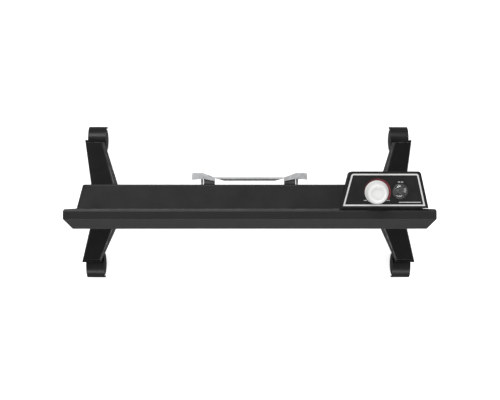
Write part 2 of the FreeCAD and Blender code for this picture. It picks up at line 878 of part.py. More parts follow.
def make_thermostat_bulb():
    """The sensing bulb near the inlet, held by two saddle clips on the back wall."""
    back = inside_back_y
    clip_radius = bulb_radius + bulb_clip_wall
    y = back - bulb_clip_wall - clip_radius
    bulb = cylinder(bulb_radius, (bulb_x - bulb_length / 2, y, bulb_z),
                    (bulb_x + bulb_length / 2, y, bulb_z))
    pieces = [bulb]
    half = bulb_clip_width / 2
    for side in (-1, 1):
        x = bulb_x + side * bulb_clip_share * bulb_length
        reach = clip_radius + bulb_clip_reach
        pieces.append(cylinder(clip_radius, (x - half, y, bulb_z), (x + half, y, bulb_z)))
        pieces.append(box(x - half, x + half, y, back, bulb_z - clip_radius, bulb_z + clip_radius))
        pieces.append(box(x - half, x + half, back - bulb_clip_wall, back,
                          bulb_z - reach, bulb_z + reach))
    return fuse(pieces)


# ---------------------------------------------------------------- control box

tilt = math.radians(face_tilt)
knob_v = (knob_y - face_front_y) / math.cos(tilt)
switch_v = (switch_y - face_front_y) / math.cos(tilt)


def on_face(shape):
    """Moves a shape from the face's own frame (x across, y up the slope, z out) to its place."""
    placed = shape.copy()
    placed.rotate(V(0, 0, 0), V(1, 0, 0), face_tilt)
    placed.translate(V(0, face_front_y, face_front_z))
    return placed


def head_outline():
    """The control box seen from above, anticlockwise."""
    return [(head_x - head_front_half, face_front_y), (head_x + head_front_half, face_front_y),
            (head_x + head_back_half, head_back_y), (head_x - head_back_half, head_back_y)]


def head_prism(gap, low, high):
    """The trapezoid between two heights, its two back corners rounded."""
    prism = prism_xy(inset(head_outline(), gap), low, high)
    return fillet(prism, head_corner - gap,
                  lambda e: abs(e.BoundBox.ZLength - (high - low)) < 0.01
                  and middle(e).y > head_back_y - gap - 1)


def face_z(y, depth):
    """Height, at y, of a plane that lies the given depth below the sloping face."""
    return face_front_z + (y - face_front_y) * math.tan(tilt) - depth / math.cos(tilt)


def casing_top_at(y):
    """Height of the casing's sloping top at y."""
    return casing_top - casing_draft * (y - panel_back_y) / casing_depth


def under_face(depth, hem):
    """Everything between the sloping face, less the depth, and the casing's top plus the hem."""
    y0, y1 = face_front_y - cut_over, head_back_y + cut_over
    low_z = casing_top_at(casing_back_y) + hem
    outline = [(y0, face_z(y0, depth)), (y0, casing_top_at(y0) + hem),
               (casing_back_y, low_z), (y1, low_z), (y1, face_z(y1, depth))]
    return prism_yz(outline, head_x - 2 * head_front_half, head_x + 2 * head_front_half)


def face_plate_outline(gap):
    """The face plate's outline in the face's own frame."""
    slope = math.cos(tilt)
    points = [(x, (y - face_front_y) / slope) for x, y in head_outline()]
    return inset(points, face_margin + gap)


def through_face(radius, x, v, low, high):
    """A round bar square to the face, from low to high along its outward axis."""
    return on_face(cylinder(radius, (x, v, low), (x, v, high)))


def face_openings():
    """The thermostat's and the switch's holes through the face."""
    reach = head_wall * 2
    return Part.makeCompound([
        through_face(thermostat_bush_radius + shaft_clearance, knob_x, knob_v, -reach, reach),
        through_face(switch_barrel_radius + shaft_clearance, switch_x, switch_v, -reach, reach)])


def make_control_cover():
    """The head: a trapezoid cover with a recessed sloping face, open below."""
    low, high = casing_top_at(casing_back_y) - cut_over, face_z(head_back_y, 0) + cut_over
    below = low - high
    shell = head_prism(0, low, high).common(under_face(0, running_gap * 2))
    hollow = head_prism(head_wall, low - cut_over, high).common(under_face(head_wall, below))
    cover = shell.cut(hollow)
    recess = polygon_face([(x, v, -face_recess) for x, v in face_plate_outline(0)])
    cover = cover.cut(on_face(recess.extrude(V(0, 0, face_recess + cut_over))))
    cover = cover.cut(face_openings())
    bosses = []
    for x in control_screw_xs():
        boss = cylinder(screw_head_radius, (x, control_screw_y, tub_flange_top()),
                        (x, control_screw_y, high))
        bosses.append(boss.common(under_face((head_wall + face_recess) / 2, below)))
    cover = fuse([cover] + bosses)
    bores = [cylinder(screw_radius + shaft_clearance,
                      (x, control_screw_y, tub_flange_top() - cut_over),
                      (x, control_screw_y, tub_flange_top() + control_screw_length + cut_over))
             for x in control_screw_xs()]
    return cover.cut(Part.makeCompound(bores))


def make_face_plate():
    """The thin plate set into the recess of the cover's face."""
    outline = face_plate_outline(fit_clearance)
    plate = polygon_face([(x, v, -face_recess) for x, v in outline])
    return on_face(plate.extrude(V(0, 0, face_recess))).cut(face_openings())


def control_screw_xs():
    """Where ledges in the tub's back corners are screwed to the cover."""
    return [tub_left_x + control_screw_inset, tub_right_x - control_screw_inset]


def tub_flange_top():
    """Top of the tub's flange, just under the lowest point inside the cover."""
    return face_z(face_front_y + head_wall + fit_clearance, head_wall) - running_gap


def make_control_tub():
    """The lower half: a deep tub let into the casing, with a trapezoid flange inside the cover."""
    top = tub_flange_top()
    outer = box(tub_left_x, tub_right_x, tub_front_y, tub_back_y, tub_bottom, top)
    outer = fillet(outer, tub_corner, lambda e: abs(e.BoundBox.ZLength - (top - tub_bottom)) < 0.01)
    flange = head_prism(head_wall + fit_clearance, top - tub_flange_wall, top)
    hollow = box(tub_left_x + tub_wall, tub_right_x - tub_wall, tub_front_y + tub_wall,
                 tub_back_y - tub_wall, tub_floor, top + cut_over)
    half = screw_head_radius + control_ledge_margin
    ledges = [box(x - half, x + half, control_screw_y - half, tub_back_y - tub_wall / 2,
                  top - tub_flange_wall, top) for x in control_screw_xs()]
    tub = fuse([fuse([outer, flange]).cut(hollow)] + ledges)
    cuts = [cylinder(screw_radius + shaft_clearance,
                     (x, control_screw_y, top - tub_flange_wall - cut_over),
                     (x, control_screw_y, top + cut_over)) for x in control_screw_xs()]
    cuts.append(cylinder(gland_radius + shaft_clearance, (gland_x, gland_y, tub_bottom - cut_over),
                         (gland_x, gland_y, tub_floor + cut_over)))
    return tub.cut(Part.makeCompound(cuts))


def make_control_screws():
    """Two screws from inside the tub, up into the cover's bosses."""
    screws = []
    seat = tub_flange_top() - tub_flange_wall
    for x in control_screw_xs():
        head = cylinder(screw_head_radius, (x, control_screw_y, seat - screw_head_height),
                        (x, control_screw_y, seat))
        shank = cylinder(screw_radius, (x, control_screw_y, seat),
                         (x, control_screw_y, tub_flange_top() + control_screw_length))
        screws.append(fuse([head, shank]))
    return Part.makeCompound(screws)


def make_control_shield():
    """A bent sheet under and in front of the tub that keeps the hot air off the controls."""
    x0, x1 = tub_left_x - 3 * notch_gap, tub_right_x + notch_gap / 2
    y0, y1 = shield_front_y, inside_back_y
    floor = box(x0, x1, y0, y1, shield_z, tub_bottom)
    below_top = casing_wall + running_gap + shield_top_gap
    front = box(x0, x1, y0, y0 + shield_wall, shield_z, casing_top_at(y0) - below_top)
    side = box(x0, x0 + shield_wall, y0, y1, shield_z, casing_top_at(y1) - below_top)
    return fuse([floor, front, side])


# ---------------------------------------------------------------- knob and thermostat


def make_knob():
    """A tapered cap with a dished top, hollow below around a bored boss."""
    lift = running_gap
    top = lift + knob_height
    shoulder = knob_top_radius + knob_taper
    dish = top - knob_dish_depth
    outline = [(0, lift), (knob_radius, lift), (knob_radius, lift + knob_skirt),
               (shoulder, top - knob_edge), (shoulder - knob_edge, top), (knob_dish_radius, top),
               (knob_dish_radius - knob_dish_depth, dish), (0, dish)]
    body = polygon_face([(r, 0, z) for r, z in outline]).revolve(V(0, 0, 0), V(0, 0, 1), 360)
    ceiling = top - knob_dish_depth - knob_wall
    hollow = Part.makeCone(knob_radius - knob_wall, knob_top_radius - knob_wall,
                           ceiling - lift + cut_over, V(0, 0, lift - cut_over))
    boss = Part.makeCylinder(knob_boss_radius, ceiling - boss_start, V(0, 0, boss_start))
    body = fuse([body.cut(hollow), boss]).cut(thermostat_shaft(shaft_clearance))
    body.translate(V(knob_x, knob_v, 0))
    return on_face(body)


def thermostat_shaft(gap):
    """The turning shaft with its flat, thicker by the gap when it cuts the knob's bore."""
    radius = thermostat_shaft_radius + gap
    low = -head_wall - thermostat_shaft_tail
    shaft = Part.makeCylinder(radius, thermostat_shaft_length - low, V(0, 0, low))
    flat_y = thermostat_shaft_radius - thermostat_shaft_flat + gap
    return shaft.cut(Part.makeBox(2 * radius, radius, thermostat_shaft_length,
                                  V(-radius, flat_y, bush_top + running_gap)))


def make_thermostat_shaft():
    """The D-shaft that the knob is pushed on."""
    shaft = thermostat_shaft(0)
    shaft.translate(V(knob_x, knob_v, 0))
    return on_face(shaft)


def make_thermostat_body():
    """The thermostat under the face: a closed case with a threaded bush through the face."""
    half_w, half_l = thermostat_width / 2, thermostat_length / 2
    top = -head_wall
    case = box(knob_x - half_w, knob_x + half_w, knob_v - half_l, knob_v + half_l,
               top - thermostat_height, top)
    case = fillet(case, thermostat_corner,
                  lambda e: abs(e.BoundBox.ZLength - thermostat_height) < 0.01)
    bush = cylinder(thermostat_bush_radius, (knob_x, knob_v, top), (knob_x, knob_v, bush_top))
    tabs = tab_pair(knob_x, knob_v, top - thermostat_height, thermostat_tab_spacing, "z")
    body = fuse([case, bush] + tabs)
    well_floor = top - thermostat_shaft_tail - running_gap
    well = cylinder(thermostat_shaft_radius + shaft_clearance, (knob_x, knob_v, well_floor),
                    (knob_x, knob_v, bush_top + cut_over))
    return on_face(body.cut(well))


def make_thermostat_nut():
    """The flat six-sided nut that clamps the face between itself and the thermostat."""
    corners = [(knob_x + thermostat_nut_radius * math.cos(math.radians(60 * i)),
                knob_v + thermostat_nut_radius * math.sin(math.radians(60 * i)), 0)
               for i in range(6)]
    nut = polygon_face(corners).extrude(V(0, 0, thermostat_nut_height))
    nut = nut.cut(cylinder(thermostat_bush_radius + shaft_clearance, (knob_x, knob_v, -cut_over),
                           (knob_x, knob_v, thermostat_nut_height + cut_over)))
    return on_face(nut)


# ---------------------------------------------------------------- rocker switch


def make_switch_housing():
    """The round bezel and barrel, with the well that the rocker tilts in."""
    x, v = switch_x, switch_v
    bezel = cylinder(switch_bezel_radius, (x, v, 0), (x, v, switch_bezel_height))
    bezel = fillet(bezel, switch_bezel_round,
                   lambda e: abs(middle(e).z - switch_bezel_height) < 0.01
                   and e.BoundBox.ZLength < 0.01)
    barrel = cylinder(switch_barrel_radius, (x, v, -switch_barrel_length), (x, v, 0))
    tabs = tab_pair(x, v, -switch_barrel_length, switch_tab_spacing, "z")
    housing = fuse([bezel, barrel] + tabs)
    well_floor = -rocker_pivot_depth - rocker_radius - running_gap
    housing = housing.cut(cylinder(switch_well_radius, (x, v, well_floor),
                                   (x, v, switch_bezel_height + cut_over)))
    reach = (switch_barrel_radius + switch_well_radius) / 2 + running_gap
    housing = housing.cut(cylinder(rocker_pin_radius + shaft_clearance,
                                   (x - reach, v, -rocker_pivot_depth),
                                   (x + reach, v, -rocker_pivot_depth)))
    return on_face(housing)


def make_switch_rocker():
    """A slice of a ball on two pins, with a shallow valley on top; it rests tilted to off."""
    ball = Part.makeSphere(rocker_radius)
    wide = 2 * rocker_radius
    ball = ball.common(Part.makeBox(2 * wide, 2 * wide, 2 * rocker_half_height,
                                    V(-wide, -wide, -rocker_half_height)))
    valley_radius = 3 * rocker_radius
    valley_z = rocker_half_height + valley_radius - rocker_valley
    valley = Part.makeCylinder(valley_radius, 2 * wide, V(-wide, 0, valley_z), V(1, 0, 0))
    reach = (switch_barrel_radius + switch_well_radius) / 2
    pins = Part.makeCylinder(rocker_pin_radius, 2 * reach, V(-reach, 0, 0), V(1, 0, 0))
    rocker = fuse([ball.cut(valley), pins])
    rocker.rotate(V(0, 0, 0), V(1, 0, 0), -rocker_tilt)
    rocker.translate(V(switch_x, switch_v, -rocker_pivot_depth))
    return on_face(rocker)


def make_switch_cap():
    """The clear splash cap: a thin dome with a flat rim that sits on the bezel."""
    rim = switch_bezel_radius - cap_rim_margin
    well = switch_well_radius + cap_wall
    low, wall_top = switch_bezel_height, switch_bezel_height + cap_rim_height
    rise = cap_rise - cap_rim_height

    def at(radius, height):
        return V(radius, 0, height)

    edges = [
        Part.LineSegment(at(well, low), at(rim, low)).toShape(),
        Part.LineSegment(at(rim, low), at(rim, wall_top)).toShape(),
        dome_arc(rim, wall_top, rise, at),
        Part.LineSegment(at(0, wall_top + rise), at(0, wall_top + rise - cap_wall)).toShape(),
        dome_arc(well, wall_top, rise - cap_wall, at),
        Part.LineSegment(at(well, wall_top), at(well, low)).toShape(),
    ]
    cap = Part.Face(Part.Wire(Part.sortEdges(edges)[0])).revolve(V(0, 0, 0), V(0, 0, 1), 360)
    cap.translate(V(switch_x, switch_v, 0))
    return on_face(cap)


# ---------------------------------------------------------------- terminal block and gland


def make_terminal_block():
    """Three poles in a slit block on the tub's floor, each with two screw wells."""
    x0, y0 = terminal_block_x - terminal_block_width / 2, terminal_block_y - terminal_block_depth / 2
    y1, top = y0 + terminal_block_depth, tub_floor + terminal_block_height
    block = box(x0, x0 + terminal_block_width, y0, y1, tub_floor, top)
    pole = terminal_block_width / terminal_poles
    cuts = []
    for i in range(terminal_poles):
        x = x0 + pole * (i + 0.5)
        for y in (y0 + terminal_bore_margin, y1 - terminal_bore_margin):
            cuts.append(cylinder(terminal_bore_radius, (x, y, top - terminal_bore_depth),
                                 (x, y, top + cut_over)))
    for i in range(1, terminal_poles):
        x = x0 + pole * i
        cuts.append(box(x - terminal_slit / 2, x + terminal_slit / 2, y0 - cut_over, y1 + cut_over,
                        top - terminal_slit_depth, top + cut_over))
    return block.cut(Part.makeCompound(cuts))


def make_cable_gland():
    """A bored sleeve through the tub's floor, with a collar inside and a tapered nose below."""
    low, high = tub_bottom - gland_drop, tub_floor + gland_collar_height
    nose_top = low + gland_nose_height
    collar = cylinder(gland_collar_radius, (gland_x, gland_y, tub_floor), (gland_x, gland_y, high))
    sleeve = cylinder(gland_radius, (gland_x, gland_y, nose_top), (gland_x, gland_y, tub_floor))
    nut = cylinder(gland_collar_radius, (gland_x, gland_y, tub_bottom - gland_nut_height),
                   (gland_x, gland_y, tub_bottom))
    nose = Part.makeCone(gland_bore_radius + gland_nose_wall, gland_radius, gland_nose_height,
                         V(gland_x, gland_y, low))
    gland = fuse([collar, sleeve, nut, nose])
    return gland.cut(cylinder(gland_bore_radius, (gland_x, gland_y, low - cut_over),
                              (gland_x, gland_y, high + cut_over)))


# ---------------------------------------------------------------- wall bracket


def bracket_path():
    """The bent strip's back face seen from above, left to right."""
    wall_y = bracket_wall_y
    return [(-bracket_ear_outer_x, wall_y), (-bracket_ear_inner_x, wall_y),
            (-bracket_strip_half, bracket_strip_y), (bracket_strip_half, bracket_strip_y),
            (bracket_ear_inner_x, wall_y), (bracket_ear_outer_x, wall_y)]


def bracket_lip():
    """The strip's top edge, folded forwards and then down, with tapered ends."""
    half = bracket_strip_half
    root_y = bracket_strip_y - bracket_wall / 2
    end_y = bracket_strip_y - bracket_wall - running_gap
    fold_y = bracket_lip_front_y + bracket_lip_drop
    low = bracket_top - bracket_lip_drop - bracket_wall
    plan = prism_xy([(-half, root_y), (-half, end_y), (-bracket_lip_half, bracket_lip_front_y),
                     (bracket_lip_half, bracket_lip_front_y), (half, end_y), (half, root_y)],
                    low, bracket_top)
    profile = [(root_y, bracket_top), (fold_y, bracket_top),
               (bracket_lip_front_y, low + bracket_wall), (bracket_lip_front_y, low),
               (fold_y, bracket_top - bracket_wall), (root_y, bracket_top - bracket_wall)]
    return plan.common(prism_yz(profile, -half, half))


def bend_flange(side, ear_front):
    """The level flange over the bend between the strip and an ear."""
    strip_x, ear_inner = side * bracket_strip_half, side * bracket_ear_inner_x
    middle_of_wall = bracket_wall / 2
    return prism_xy([(strip_x, bracket_strip_y - middle_of_wall),
                     (strip_x, bracket_strip_y - bracket_flange_depth),
                     (ear_inner, ear_front), (ear_inner, bracket_wall_y - middle_of_wall)],
                    bracket_top - bracket_wall, bracket_top)


def make_wall_bracket():
    """A galvanised pressing: bent strip, two long arms on the wall, ears with hooks, guides."""
    path = bracket_path()
    front = [(x, y - bracket_wall) for x, y in path]
    low = bracket_top - bracket_strip_height
    strip = prism_xy(path[::-1] + front, low, bracket_top)
    pieces = [strip, bracket_lip()]
    inner, outer = bracket_ear_inner_x, bracket_ear_outer_x
    ear_front = bracket_wall_y - bracket_ear_depth
    hook_top = hook_z + bracket_wall
    tongue_back = casing_back_y + running_gap
    guide_back_y = (bracket_strip_y + bracket_wall_y - bracket_wall) / 2
    for side in (-1, 1):
        x0, x1 = sorted((side * inner, side * outer))
        pieces.append(box(x0, x1, bracket_wall_y - bracket_wall, bracket_wall_y,
                          bracket_arm_bottom, bracket_top))
        pieces.append(box(x0, x1, ear_front, bracket_wall_y - bracket_wall / 2,
                          bracket_top - bracket_wall, bracket_top))
        pieces.append(box(x0, x1, ear_front - bracket_wall / 2, ear_front + bracket_wall / 2,
                          hook_z, bracket_top))
        pieces.append(bend_flange(side, ear_front))
        hook = hook_x(side)
        half = hook_width / 2
        pieces.append(box(hook - half, hook + half, tongue_back, ear_front, hook_z, hook_top))
        hook_front = inside_back_y - bracket_wall
        pieces.append(box(hook - half, hook + half, hook_front, tongue_back + cut_over,
                          hook_z, hook_top))
        pieces.append(box(hook - half, hook + half, hook_front, hook_front + bracket_wall,
                          hook_z, hook_top + hook_lip - running_gap))
        guide = lock_slot_x(side)
        pieces.append(box(guide - lock_guide_wall / 2, guide + lock_guide_wall / 2,
                          lock_guide_front_y, guide_back_y, low, guide_top))
    return fuse(pieces).cut(bracket_slots())


def bracket_slots():
    """Four level slots for the wall screws, each with round ends."""
    half = bracket_slot_length / 2 - bracket_slot_radius
    y0, y1 = bracket_wall_y - bracket_wall - cut_over, bracket_wall_y + cut_over
    slots = []
    for side in (-1, 1):
        x = ear_x(side)
        for z in (bracket_slot_upper_z, bracket_slot_lower_z):
            ends = [cylinder(bracket_slot_radius, (x + end * half, y0, z), (x + end * half, y1, z))
                    for end in (-1, 1)]
            middle_block = box(x - half, x + half, y0, y1,
                               z - bracket_slot_radius, z + bracket_slot_radius)
            slots.append(fuse([middle_block] + ends))
    return Part.makeCompound(slots)


def make_bracket_lock():
    """The right lock: a block that slides on the bracket's fin, its nose through the casing."""
    x = lock_slot_x(1)
    width, half = lock_width, lock_width / 2
    y0, y1 = casing_back_y + running_gap, lock_back_y
    z0, z1 = lock_bottom, lock_top
    block = box(x - half, x + half, y0, y1, z0, z1)
    block = block.cut(prism_yz([(y0 - cut_over, z1 + cut_over), (y0 - cut_over, z1 - lock_chamfer),
                                (y0 + lock_chamfer, z1 + cut_over)], x - width, x + width))
    slot_half = lock_guide_wall / 2 + running_gap
    block = block.cut(box(x - slot_half, x + slot_half, lock_guide_front_y - running_gap,
                          y1 + cut_over, z0 - cut_over, lock_slot_top))
    strip_front = bracket_strip_y - bracket_wall - running_gap
    ear_front = bracket_wall_y - bracket_wall - running_gap
    inner = bracket_strip_half - cut_over
    strip_clear = prism_xy([(inner, strip_front), (bracket_strip_half, strip_front),
                            (bracket_ear_inner_x, ear_front),
                            (bracket_ear_inner_x, bracket_wall_y), (inner, bracket_wall_y)],
                           z0 - cut_over, z1 + cut_over)
    block = block.cut(strip_clear)
    nose_half = lock_nose_width / 2
    lip_back = inside_back_y
    lip_front = lip_back - lock_lip_depth
    nose = box(x - nose_half, x + nose_half, lip_front, y0 + cut_over,
               lock_nose_z, lock_nose_z + lock_nose_height)
    lip = box(x - nose_half, x + nose_half, lip_front, lip_back,
              lock_nose_z, lock_nose_z + lock_nose_height + lock_lip_rise)
    tab_half = half - lock_tab_margin
    tab = box(x - tab_half, x + tab_half, y0 + lock_tab_wall / 4, y0 + lock_tab_wall * 5 / 4,
              z0 - lock_tab_length, z0 + cut_over)
    return fuse([block, nose, lip, tab])


# ---------------------------------------------------------------- feet


def foot_outline():
    """The right foot seen from above, anticlockwise."""
    reaches = [(foot_front_outer, foot_front_y), (foot_vertex_outer, foot_vertex_y),
               (foot_back_outer, foot_back_y),
               (foot_back_inner, foot_back_y - foot_back_skew),
               (foot_vertex_inner, foot_vertex_y),
               (foot_front_inner, foot_front_y + foot_front_skew)]
    return [(panel_half_width + reach, y) for reach, y in reaches]


def foot_profile(gap, low):
    """The foot's side outline: flat in the middle, sloping down to turned-down ends."""
    front, back = foot_front_y + gap, foot_back_y - gap
    flat_z, end_z = foot_top - gap, foot_end_z - gap
    lip_z = end_z - foot_lip_drop
    return [(front, low), (back, low), (back, lip_z), (back - foot_lip, end_z),
            (foot_flat_back_y, flat_z), (foot_flat_front_y, flat_z),
            (front + foot_lip, end_z), (front, lip_z)]


def stem_place(end):
    """Plan place of a stem on the right-hand side: end is 1 for the back, -1 for the front."""
    if end > 0:
        return panel_half_width + castor_back_reach, foot_back_y - castor_end_margin_back
    return panel_half_width + castor_front_reach, foot_front_y + castor_end_margin_front


def make_foot():
    """A folded channel, open below, with a flat plate across each end for the castor."""
    x0, x1 = 0, panel_half_width + 2 * foot_front_outer
    outer = prism_xy(foot_outline(), foot_bottom, foot_top + cut_over)
    outer = outer.common(prism_yz(foot_profile(0, foot_bottom - cut_over), x0, x1))
    outer = fillet(outer, foot_fold_radius, is_foot_fold)
    inner = prism_xy(inset(foot_outline(), foot_wall), foot_bottom - 2 * cut_over, foot_top + cut_over)
    inner = inner.common(prism_yz(foot_profile(foot_wall, foot_bottom - 2 * cut_over), x0, x1))
    shell = outer.cut(inner)
    plates, cuts = [], []
    for end in (-1, 1):
        x, y = stem_place(end)
        half = castor_plate_length / 2
        strip = prism_xy(inset(foot_outline(), foot_wall / 2), foot_bottom,
                         foot_bottom + castor_plate_wall)
        plates.append(strip.common(box(x0, x1, y - half, y + half, foot_bottom, foot_top)))
        cuts.append(cylinder(castor_bush_radius + shaft_clearance, (x, y, foot_bottom - cut_over),
                             (x, y, foot_bottom + castor_plate_wall + cut_over)))
    for y in (foot_screw_front_y, foot_screw_back_y):
        cuts.append(cylinder(foot_screw_radius + shaft_clearance,
                             (foot_screw_x, y, foot_top - foot_wall - cut_over),
                             (foot_screw_x, y, foot_top + cut_over)))
    return fuse([shell] + plates).cut(Part.makeCompound(cuts))


def is_foot_fold(edge):
    """True for the long upper edges, where the top of the channel turns down into its sides."""
    span = edge.BoundBox
    long_enough = span.YLength > foot_wall * 2
    above_lips = span.ZMin > foot_end_z - cut_over / 2
    return long_enough and above_lips


def make_foot_screws():
    """Screws from under each foot up into the casing's floor."""
    screws = []
    for side in (-1, 1):
        for y in (foot_screw_front_y, foot_screw_back_y):
            x = side * foot_screw_x
            seat = foot_top - foot_wall
            head = cylinder(foot_screw_head_radius, (x, y, seat - foot_screw_head_height), (x, y, seat))
            tip = casing_bottom + casing_wall + foot_screw_bite
            shank = cylinder(foot_screw_radius, (x, y, seat), (x, y, tip))
            screws.append(fuse([head, shank]))
    return Part.makeCompound(screws)


# ---------------------------------------------------------------- castors


def make_castor_bushes():
    """Plastic bushes in the four castor plates."""
    bushes = []
    for side in (-1, 1):
        for end in (-1, 1):
            x, y = stem_place(end)
            x = side * x
            flange = cylinder(castor_bush_flange_radius, (x, y, foot_bottom - castor_bush_flange_wall),
                              (x, y, foot_bottom))
            sleeve = cylinder(castor_bush_radius, (x, y, foot_bottom),
                              (x, y, foot_bottom + castor_bush_length))
            bore = cylinder(stem_upper_radius + shaft_clearance,
                            (x, y, foot_bottom - castor_bush_flange_wall - cut_over),
                            (x, y, foot_bottom + castor_bush_length + cut_over))
            bushes.append(fuse([flange, sleeve]).cut(bore))
    return Part.makeCompound(bushes)


def make_castor_hood():
    """A castor's body about its own stem: hood over both wheels, web, axle hub and stem boss."""
    y_axle = castor_trail
    start, end = math.radians(hood_low_angle), math.radians(hood_high_angle)

    def at(radius, angle):
        return V(0, y_axle + radius * math.cos(angle), axle_z + radius * math.sin(angle))

    half_angle = (start + end) / 2
    inner, outer = hood_inner_radius, hood_outer_radius
    edges = [
        Part.Arc(at(outer, start), at(outer, half_angle), at(outer, end)).toShape(),
        Part.LineSegment(at(outer, end), at(inner, end)).toShape(),
        Part.Arc(at(inner, end), at(inner, half_angle), at(inner, start)).toShape(),
        Part.LineSegment(at(inner, start), at(outer, start)).toShape(),
    ]
    arch = Part.Face(Part.Wire(edges)).extrude(V(2 * hood_half_width, 0, 0))
    arch.translate(V(-hood_half_width, 0, 0))
    web = Part.makeCylinder((inner + outer) / 2, hood_web, V(-hood_web / 2, y_axle, axle_z),
                            V(1, 0, 0))
    web_floor = axle_z + inner * math.sin(start)
    web = web.cut(box(-hood_web, hood_web, y_axle - 2 * outer, y_axle + 2 * outer,
                      -cut_over - outer, web_floor))
    hub = cylinder(wheel_hub_radius, (-wheel_inner_x + running_gap, y_axle, axle_z),
                   (wheel_inner_x - running_gap, y_axle, axle_z))
    boss = cylinder(hood_boss_radius, (0, 0, axle_z), (0, 0, hood_boss_top))
    hood = fuse([arch, web, hub, boss])
    hood = hood.cut(cylinder(stem_radius + shaft_clearance, (0, 0, axle_z + stem_bore_lift),
                             (0, 0, hood_boss_top + cut_over)))
    return hood.cut(cylinder(axle_radius + shaft_clearance, (-wheel_inner_x, y_axle, axle_z),
                             (wheel_inner_x, y_axle, axle_z)))


def make_castor_stem():
    """The steel stem: a lower pin that the castor turns on, a flange and an upper pin."""
    lower = cylinder(stem_radius, (0, 0, axle_z + stem_bore_lift + stem_seat),
                     (0, 0, stem_flange_z))
    flange = cylinder(stem_flange_radius, (0, 0, stem_flange_z),
                      (0, 0, stem_flange_z + stem_flange_wall))
    upper = cylinder(stem_upper_radius, (0, 0, stem_flange_z + stem_flange_wall),
                     (0, 0, stem_flange_z + stem_flange_wall + stem_upper_length))
    return fuse([lower, flange, upper])


def make_castor_axle():
    """The axle through the hub, ending inside the wheels' domes."""
    reach = wheel_outer_x - wheel_wall - running_gap
    return cylinder(axle_radius, (-reach, castor_trail, axle_z), (reach, castor_trail, axle_z))


def make_castor_wheel():
    """The wheel on the +X side: rim, domed disc and hub, open towards the castor's middle."""
    inner, rim_end = wheel_inner_x, wheel_inner_x + wheel_rim_width
    tip = wheel_outer_x
    r, wall, edge = wheel_radius, wheel_wall, wheel_edge
    hub, bore = wheel_hub_radius, axle_radius + shaft_clearance
    disc_inner = rim_end - wall

    def at(x, radius):
        return V(x, 0, radius)

    def line(a, b):
        return Part.LineSegment(at(*a), at(*b)).toShape()

    edges = [
        line((inner, r - edge), (inner + edge, r)),
        line((inner + edge, r), (rim_end - edge, r)),
        line((rim_end - edge, r), (rim_end, r - edge)),
        dome_arc(r - edge, rim_end, wheel_dome, lambda radius, x: at(x, radius)),
        line((tip, 0), (tip - wall, 0)),
        line((tip - wall, 0), (tip - wall, bore)),
        line((tip - wall, bore), (inner, bore)),
        line((inner, bore), (inner, hub)),
        line((inner, hub), (disc_inner, hub)),
        line((disc_inner, hub), (disc_inner, r - wall - edge)),
        line((disc_inner, r - wall - edge), (inner, r - wall)),
        line((inner, r - wall), (inner, r - edge)),
    ]
    outline = Part.Wire(Part.sortEdges(edges)[0])
    wheel = Part.Face(outline).revolve(V(0, 0, 0), V(1, 0, 0), 360)
    wheel.translate(V(0, castor_trail, axle_z))
    return wheel


def placed_castor(shape, side, end):
    """Puts a castor piece, built about its stem, at one of the four corners."""
    x, y = stem_place(end)
    placed = shape.copy()
    if end < 0:
        placed.rotate(V(0, 0, 0), V(0, 0, 1), 180)
    placed.translate(V(side * x, y, 0))
    return placed


# ---------------------------------------------------------------- build

write("front_panel", make_front_panel())
write("rear_casing", make_rear_casing())
write("outlet_grille", make_outlet_grille())
write("inlet_grille", make_inlet_grille())
write("air_deflector", make_air_deflector())
write("heating_element", make_heating_element())
write("heater_rod", make_heater_rod())
write("element_bushes", make_element_bushes())
write("element_bracket_right", make_element_bracket())
write("element_bracket_left", mirrored(make_element_bracket()))
write("thermal_cutout", make_thermal_cutout())
write("tip_over_switch", make_tip_over_switch())
write("thermostat_bulb", make_thermostat_bulb())
write("control_cover", make_control_cover())
write("control_tub", make_control_tub())
write("control_shield", make_control_shield())
write("face_plate", make_face_plate())
write("knob", make_knob())
write("thermostat_shaft", make_thermostat_shaft())
write("thermostat_body", make_thermostat_body())
write("thermostat_nut", make_thermostat_nut())
write("switch_housing", make_switch_housing())
write("switch_rocker", make_switch_rocker())
write("switch_cap", make_switch_cap())
write("terminal_block", make_terminal_block())
write("cable_gland", make_cable_gland())
write("wall_bracket", make_wall_bracket())
write("bracket_lock_right", make_bracket_lock())
write("bracket_lock_left", mirrored(make_bracket_lock()))
write("foot_right", make_foot())
write("foot_left", mirrored(make_foot()))
write("castor_bushes", make_castor_bushes())
write("panel_screws", make_panel_screws())
write("foot_screws", make_foot_screws())
write("control_screws", make_control_screws())

hood, stem, axle, wheel = make_castor_hood(), make_castor_stem(), make_castor_axle(), make_castor_wheel()
for end, end_name in ((1, "back"), (-1, "front")):
    for side, side_name in ((-1, "left"), (1, "right")):
        corner = end_name + "_" + side_name
        write("castor_hood_" + corner, placed_castor(hood, side, end))
        write("castor_stem_" + corner, placed_castor(stem, side, end))
        write("castor_axle_" + corner, placed_castor(axle, side, end))
        outward = wheel if side * end > 0 else mirrored(wheel)
        inward = mirrored(wheel) if side * end > 0 else wheel
        write("wheel_outer_" + corner, placed_castor(outward, side, end))
        write("wheel_inner_" + corner, placed_castor(inward, side, end))
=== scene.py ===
# %% [markdown]
# # A panel convection heater on castors, seen from straight above
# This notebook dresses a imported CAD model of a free-standing convector. The CAD part gives every
# place and every size. Here the heater gets its finishes, its printed control face and the small
# rounded edges that a moulding or a folded sheet has.
#
# The CAD parts come in first. Each one is an object at the origin with its place in its mesh, so
# a new piece only has to be made where the CAD says.

import json
import math

import bmesh
import bpy
from mathutils import Matrix, Vector


